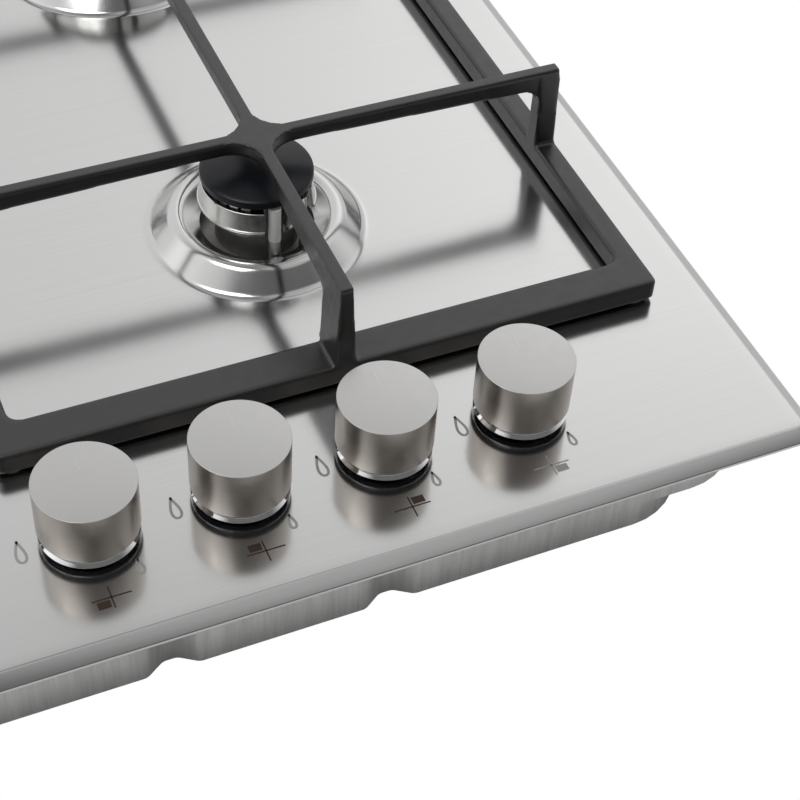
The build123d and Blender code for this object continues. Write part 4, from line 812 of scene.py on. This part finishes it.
def build_spring(k, place):
    """Return spring of a tap, which shortens as its knob is pushed."""
    low, high = (Vector(corner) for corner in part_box(f"valve_spring_{k}"))
    radius = (high.x - low.x) / 2 - SPRING_WIRE
    start, rise = low.z + SPRING_WIRE, high.z - low.z - 2 * SPRING_WIRE
    bm = bmesh.new()
    rings = []
    steps = SPRING_TURNS * 32
    for i in range(steps + 1):
        turn = 2 * pi * SPRING_TURNS * i / steps
        z = start + rise * i / steps
        ring = []
        for j in range(10):
            angle = 2 * pi * j / 10
            reach = radius + SPRING_WIRE * cos(angle)
            x, y = place.x + reach * cos(turn), place.y + reach * sin(turn)
            ring.append(bm.verts.new((x, y, z + SPRING_WIRE * sin(angle))))
        rings.append(ring)
    bridge(bm, rings)
    bm.faces.new(rings[0])
    bm.faces.new(reversed(rings[-1]))
    coil = finish_mesh(
        f"spring_coil_{k}", bm, SLOTS["zinc_steel"], f"tap_{k}", 60, [f"valve_spring_{k}"]
    )
    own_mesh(coil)


for k, place in knobs.items():
    build_knob(k, place)
    build_spring(k, place)

# ---------------------------------------------------------------- marks on the panel


def add_stroke(bm, points, width, z, closed=False):
    """A flat line of a given width along points."""
    half = width / 2
    left, right = [], []
    count = len(points)
    for i, (x, y) in enumerate(points):
        a = points[i - 1] if (closed or i) else points[0]
        b = points[(i + 1) % count] if (closed or i < count - 1) else points[-1]
        along = Vector((b[0] - a[0], b[1] - a[1])).normalized()
        left.append(bm.verts.new((x - along.y * half, y + along.x * half, z)))
        right.append(bm.verts.new((x + along.y * half, y - along.x * half, z)))
    bridge(bm, [left, right], closed)


def flame(x, y, height, width):
    """Drop-shaped outline, pointed towards the rear."""
    out = []
    steps = 40
    for k in range(steps):
        angle = 2 * pi * k / steps
        swell = sin(angle / 2) ** 1.6
        out.append((x + width / 2 * sin(angle) * swell * 1.12, y + height / 2 * cos(angle)))
    return out


def build_marks(k, place):
    z = panel_top + MARK_LIFT
    ink = INK_GREY if k == 4 else INK
    bm = bmesh.new()
    for dx, dy, height, width in (FLAME_LARGE, FLAME_SMALL):
        outline = flame(place.x + dx, place.y + dy, height, width)
        add_stroke(bm, outline, FLAME_STROKE, z, closed=True)
    finish_mesh(f"flame_marks_{k}", bm, INK_FLAME, "housing", 40)
    bm = bmesh.new()
    gx, gy = place.x + GLYPH_PLACE[0], place.y + GLYPH_PLACE[1]
    half_w, half_h = GLYPH_WIDTH / 2, GLYPH_HEIGHT / 2
    add_stroke(bm, [(gx - half_w, gy), (gx + half_w, gy)], GLYPH_STROKE, z)
    add_stroke(bm, [(gx, gy - half_h), (gx, gy + half_h)], GLYPH_STROKE, z)
    side_x = -1 if k in (1, 2) else 1
    side_y = 1 if k in (2, 3) else -1
    square_w, square_h = GLYPH_SQUARE
    x0 = gx + side_x * GLYPH_GAP
    y0 = gy + side_y * GLYPH_GAP
    corners = [
        (x0, y0),
        (x0 + side_x * square_w, y0),
        (x0 + side_x * square_w, y0 + side_y * square_h),
        (x0, y0 + side_y * square_h),
    ]
    bm.faces.new(loop_at(bm, corners, z))
    finish_mesh(f"burner_mark_{k}", bm, ink, "housing", 40)


for k, place in knobs.items():
    build_marks(k, place)

# ---------------------------------------------------------------- burners


def build_burner(name, x, y, cap_radius):
    datum = Vector((x, y, panel_top))
    # cap: enamelled disc with a softly domed top and a rolled edge
    low, high = (Vector(corner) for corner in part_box(f"burner_cap_{name}"))
    top, skirt = high.z - panel_top, low.z - panel_top
    under = CAP_UNDER
    skirt_outer, skirt_inner = cap_radius - CAP_SKIRT[0], cap_radius - CAP_SKIRT[1]
    dome = []
    sphere = (cap_radius**2 + CAP_RISE**2) / (2 * CAP_RISE)
    for k in range(25):
        r = (cap_radius - CAP_ROLL) * k / 24
        dome.append((r, top - sphere + (sphere**2 - r**2) ** 0.5))
    edge = dome[-1][1]
    rest = rounded(
        [
            (cap_radius - CAP_ROLL, edge, 0),
            (cap_radius - 0.1 * MM, edge - 0.7 * MM, 0.8 * MM),
            (cap_radius, under + 0.5 * MM, 0.3 * MM),
            (cap_radius - 0.6 * MM, under, 0.3 * MM),
            (skirt_outer, under, 0.2 * MM),
            (skirt_outer, skirt, 0.3 * MM),
            (skirt_inner, skirt, 0.3 * MM),
            (skirt_inner, under, 0.2 * MM),
            (0, under, 0),
        ],
        6,
        closed=False,
    )
    lathe(
        f"cap_{name}",
        dome + rest[1:],
        datum,
        SLOTS["black_enamel"],
        f"cap_{name}",
        128,
        40,
        [f"burner_cap_{name}"],
        close_profile=False,
    )


def sectors():
    """The band's parts between its notches: angle and width of the notch at either end."""
    (first, first_width), (second, second_width) = NOTCHES
    return (
        (first, first_width, second, second_width),
        (second, second_width, first + 360, first_width),
    )


def build_crown(name, x, y, cap_radius):
    body = f"crown_{name}"
    datum = Vector((x, y, panel_top))
    bore, throat, throat_end = THROAT
    spigot = cap_radius + CROWN_SPIGOT
    core = cap_radius + CROWN_CORE
    inner = cap_radius + CROWN_INNER
    ring = cap_radius + CROWN_RING
    edge = CAST_EDGE
    core_profile = rounded(
        [
            (bore, throat_end, edge),
            (throat, throat_end, edge),
            (throat, BAND_BASE, edge),
            (spigot - SPIGOT_WALL, BAND_BASE, edge),
            (spigot - SPIGOT_WALL, SPIGOT_BOTTOM, edge),
            (spigot, SPIGOT_BOTTOM, edge),
            (spigot, SOCKET_TOP, 0),
            (core, SOCKET_TOP, 0),
            (core, BAND_LEDGE, 0),
            (inner, BAND_LEDGE, 0),
            (inner, BAND_BASE + CROWN_DECK, edge),
            (bore, BAND_BASE + CROWN_DECK, edge),
        ],
        4,
    )
    lathe(f"crown_core_{name}", core_profile, datum, SLOTS["cast_aluminium"], body, 128, 40)
    foot, top = cap_radius + BAND_FOOT, cap_radius + BAND_TOP
    bead = BEAD_HEIGHT
    band_profile = rounded(
        [
            (core, SOCKET_TOP, 0),
            (cap_radius + CROWN_SHOULDER, SOCKET_TOP, edge),
            (cap_radius + CROWN_SHOULDER, BAND_BASE, edge),
            (foot, BAND_BASE, 0.6 * MM),
            (foot, BAND_BASE + bead, 0.6 * MM),
            (foot - BAND_BEAD - 0.2 * MM, BAND_BASE + bead, 0.2 * MM),
            (top, BAND_LEDGE, 0.5 * MM),
            (core, BAND_LEDGE, 0),
        ],
        5,
    )
    bm = bmesh.new()
    for start, start_width, stop, stop_width in sectors():
        a = start + atan2(start_width / 2, foot) * 180 / pi
        b = stop - atan2(stop_width / 2, foot) * 180 / pi
        add_lathe(bm, band_profile, datum, 160, start=a, stop=b)
    # ring under the cap, parted by the flame ports
    ports = round(2 * pi * ring / PORT_SPACING)
    half_port = atan2(PORT_WIDTH / 2, ring) * 180 / pi
    for k in range(ports):
        a = 360 * k / ports + half_port
        b = 360 * (k + 1) / ports - half_port
        middle = (a + b) / 2
        outer = ring
        for angle, width in NOTCHES:
            reach = atan2(width / 2, ring) * 180 / pi + (b - a) / 2
            if abs((middle - angle + 180) % 360 - 180) < reach:
                outer = core
        tooth = rounded(
            [
                (inner, BAND_LEDGE, 0),
                (outer, BAND_LEDGE, 0),
                (outer, CROWN_TOP, edge),
                (inner, CROWN_TOP, edge),
            ],
            3,
        )
        add_lathe(bm, tooth, datum, 120, start=a, stop=b)
    finish_mesh(
        f"crown_band_{name}", bm, CROWN_BAND, body, 40, [f"burner_crown_{name}"]
    )


def beside(x, y, reach, angle):
    turn = radians(angle)
    return Vector((x + reach * cos(turn), y + reach * sin(turn), panel_top))


def build_pins():
    """The ceramic electrode and the steel probe that stand beside each crown."""
    white, holder, probes = bmesh.new(), bmesh.new(), bmesh.new()
    for x, y, cap_radius in burners.values():
        reach = cap_radius - PIN_INSET
        (electrode_angle, _), (probe_angle, _) = NOTCHES
        place = beside(x, y, reach, electrode_angle)
        tip_radius, tip = SPARK_TIP
        ceramic = rounded(
            [
                (0, CERAMIC_FOOT, 0),
                (CERAMIC_RADIUS, CERAMIC_FOOT, 0.3 * MM),
                (CERAMIC_RADIUS, CERAMIC_TOP, 0.5 * MM),
                (tip_radius, CERAMIC_TOP + 0.3 * MM, 0),
                (0, CERAMIC_TOP + 0.3 * MM, 0),
            ],
            5,
            closed=False,
        )
        add_lathe(white, ceramic, place, 40, close_profile=False)
        # steel holder below the ceramic: its darker tone is partly the steel's own and partly
        # painted shade low in the burner's hole
        tail_radius, tail = TAIL
        stem = rounded(
            [
                (0, tail, 0),
                (tail_radius, tail, 0.2 * MM),
                (tail_radius, PIN_BOTTOM, 0),
                (HOLDER_RADIUS, PIN_BOTTOM, 0.3 * MM),
                (HOLDER_RADIUS, CERAMIC_FOOT - 0.3 * MM, 0.2 * MM),
                (tip_radius, CERAMIC_FOOT, 0),
                (tip_radius, tip, 0.3 * MM),
                (0, tip, 0),
            ],
            4,
            closed=False,
        )
        add_lathe(holder, stem, place, 32, close_profile=False)
        place = beside(x, y, reach, probe_angle)
        collar, collar_low, collar_high = PROBE_COLLAR
        probe = rounded(
            [
                (0, PIN_BOTTOM, 0),
                (PROBE_RADIUS, PIN_BOTTOM, 0.3 * MM),
                (PROBE_RADIUS, collar_low, 0),
                (collar, collar_low, 0.2 * MM),
                (collar, collar_high, 0.2 * MM),
                (PROBE_RADIUS, collar_high, 0),
                (PROBE_RADIUS, PROBE_TOP, 1.1 * MM),
                (0, PROBE_TOP, 0),
            ],
            5,
            closed=False,
        )
        add_lathe(probes, probe, place, 32, close_profile=False)
    finish_mesh(
        "electrode_ceramics", white, SLOTS["white_ceramic"], "housing", 40, ["spark_electrodes"]
    )
    finish_mesh("electrode_holders", holder, SLOTS["zinc_steel"], "housing", 40)
    finish_mesh("probes", probes, SLOTS["zinc_steel"], "housing", 40, ["thermocouples"])


for name, (x, y, cap_radius) in burners.items():
    build_burner(name, x, y, cap_radius)
    build_crown(name, x, y, cap_radius)
build_pins()

# ---------------------------------------------------------------- pan supports


def soften(node, name, voxel, body, material, smooth=2, keep=0.35):
    """A casting: the node's own shape with every edge and joint rounded by remeshing."""
    source = nodes[node].data.copy()
    rough = bpy.data.objects.new(name + "_source", source)
    bpy.context.scene.collection.objects.link(rough)
    remesh = rough.modifiers.new("remesh", "REMESH")
    remesh.mode = "VOXEL"
    remesh.voxel_size = voxel
    relax = rough.modifiers.new("relax", "SMOOTH")
    relax.factor = 0.5
    relax.iterations = smooth
    thin = rough.modifiers.new("thin", "DECIMATE")
    thin.ratio = keep
    shape = rough.evaluated_get(bpy.context.evaluated_depsgraph_get())
    mesh = bpy.data.meshes.new_from_object(shape)
    mesh.name = name
    bpy.data.objects.remove(rough)
    finish_object(name, mesh, material, body, 50, [node])


voxel = CASTING_VOXEL * 1
for side in ("right", "left"):
    soften(
        f"pan_support_{side}",
        f"support_casting_{side}",
        voxel,
        f"support_{side}",
        SLOTS["cast_iron"],
    )

# ---------------------------------------------------------------- studio


def build_camera():
    forward = Vector(
        (
            sin(CAMERA_YAW) * cos(CAMERA_PITCH),
            cos(CAMERA_YAW) * cos(CAMERA_PITCH),
            -sin(CAMERA_PITCH),
        )
    )
    right = Vector((cos(CAMERA_YAW), -sin(CAMERA_YAW), 0))
    up = right.cross(forward)
    right_rolled = right * cos(CAMERA_ROLL) + up * sin(CAMERA_ROLL)
    up_rolled = up * cos(CAMERA_ROLL) - right * sin(CAMERA_ROLL)
    camera = bpy.data.cameras.new("camera")
    obj = bpy.data.objects.new("camera", camera)
    bpy.context.scene.collection.objects.link(obj)
    turn = Matrix((right_rolled, up_rolled, -forward)).transposed()
    obj.matrix_world = Matrix.Translation(CAMERA_PLACE) @ turn.to_4x4()
    camera.sensor_width = 36.0
    camera.lens = CAMERA_FOCAL_PIXELS / IMAGE * camera.sensor_width
    camera.shift_x = (IMAGE / 2 - CAMERA_CENTRE_PIXEL[0]) / IMAGE
    camera.shift_y = (CAMERA_CENTRE_PIXEL[1] - IMAGE / 2) / IMAGE
    camera.clip_start = 0.01
    camera.clip_end = 50.0
    bpy.context.scene.camera = obj


def build_floor():
    bm = bmesh.new()
    bmesh.ops.create_grid(bm, x_segments=1, y_segments=1, size=6.0)
    mesh = bpy.data.meshes.new("floor")
    bm.to_mesh(mesh)
    bm.free()
    floor = bpy.data.objects.new("floor", mesh)
    bpy.context.scene.collection.objects.link(floor)
    floor.location.z = tray_low.z - 0.5 * MM
    material = bpy.data.materials.new("pale_floor")
    material.use_nodes = True
    tree = material.node_tree
    output = tree.nodes["Material Output"]
    surface = tree.nodes["Principled BSDF"]
    surface.inputs["Base Color"].default_value = (0.92, 0.92, 0.92, 1.0)
    surface.inputs["Roughness"].default_value = 0.8
    white = tree.nodes.new("ShaderNodeEmission")
    white.inputs["Color"].default_value = (1.0, 1.0, 1.0, 1.0)
    path = tree.nodes.new("ShaderNodeLightPath")
    mix = tree.nodes.new("ShaderNodeMixShader")
    tree.links.new(path.outputs["Is Camera Ray"], mix.inputs["Fac"])
    tree.links.new(surface.outputs["BSDF"], mix.inputs[1])
    tree.links.new(white.outputs["Emission"], mix.inputs[2])
    tree.links.new(mix.outputs["Shader"], output.inputs["Surface"])
    mesh.materials.append(material)


def build_world():
    """White to the camera; to everything else a studio that is bright above and behind."""
    world = bpy.data.worlds.new("studio")
    bpy.context.scene.world = world
    world.use_nodes = True
    tree = world.node_tree
    tree.nodes.clear()
    place = tree.nodes.new("ShaderNodeTexCoord")
    total = None
    for direction, start, stop, low, high in STUDIO:
        dot = tree.nodes.new("ShaderNodeVectorMath")
        dot.operation = "DOT_PRODUCT"
        dot.inputs[1].default_value = direction.normalized()
        tree.links.new(place.outputs["Generated"], dot.inputs[0])
        ramp = tree.nodes.new("ShaderNodeMapRange")
        ramp.interpolation_type = "SMOOTHSTEP"
        levels = {"From Min": start, "From Max": stop, "To Min": low, "To Max": high}
        for socket, value in levels.items():
            ramp.inputs[socket].default_value = value
        tree.links.new(dot.outputs["Value"], ramp.inputs["Value"])
        if total is None:
            total = ramp.outputs["Result"]
        else:
            add = tree.nodes.new("ShaderNodeMath")
            add.operation = "ADD"
            tree.links.new(total, add.inputs[0])
            tree.links.new(ramp.outputs["Result"], add.inputs[1])
            total = add.outputs["Value"]
    sky = tree.nodes.new("ShaderNodeBackground")
    tree.links.new(total, sky.inputs["Strength"])
    white = tree.nodes.new("ShaderNodeBackground")
    path = tree.nodes.new("ShaderNodeLightPath")
    mix = tree.nodes.new("ShaderNodeMixShader")
    output = tree.nodes.new("ShaderNodeOutputWorld")
    white.inputs["Color"].default_value = (1.0, 1.0, 1.0, 1.0)
    tree.links.new(path.outputs["Is Camera Ray"], mix.inputs["Fac"])
    tree.links.new(sky.outputs["Background"], mix.inputs[1])
    tree.links.new(white.outputs["Background"], mix.inputs[2])
    tree.links.new(mix.outputs["Shader"], output.inputs["Surface"])


def add_softbox(name, place, aim, size, power):
    light = bpy.data.lights.new(name, "AREA")
    light.shape = "RECTANGLE"
    light.size, light.size_y = size
    light.energy = power
    obj = bpy.data.objects.new(name, light)
    bpy.context.scene.collection.objects.link(obj)
    obj.location = place
    obj.rotation_euler = (Vector(aim) - Vector(place)).to_track_quat("-Z", "Y").to_euler()
    obj.visible_camera = False


# bright fields of the studio: direction, start and end of the ramp, level before and after
STUDIO = (
    (Vector((0.0, 0.9, -0.4)), -0.55, 0.15, 0.18, 0.62),
    (Vector((0.0, 0.9, -0.4)), 0.05, 0.35, 0.0, 0.45),
    (Vector((0.9, 0.3, 0.3)), 0.5, 0.95, 0.0, 0.6),
    (Vector((0.82, 0.56, 0.1)), 0.82, 0.97, 0.0, -0.7),
    (Vector((0.31, -0.2, 0.93)), 0.915, 0.97, 0.0, 0.5),
    (Vector((-0.76, 0.05, 0.65)), 0.78, 0.97, 0.0, 0.8),
)

build_camera()
build_floor()
build_world()
add_softbox("softbox_top", (-0.5, -0.3, 1.6), (0, 0, 0), (0.8, 0.6), 6)

scene = bpy.context.scene
scene.view_settings.view_transform = "Standard"
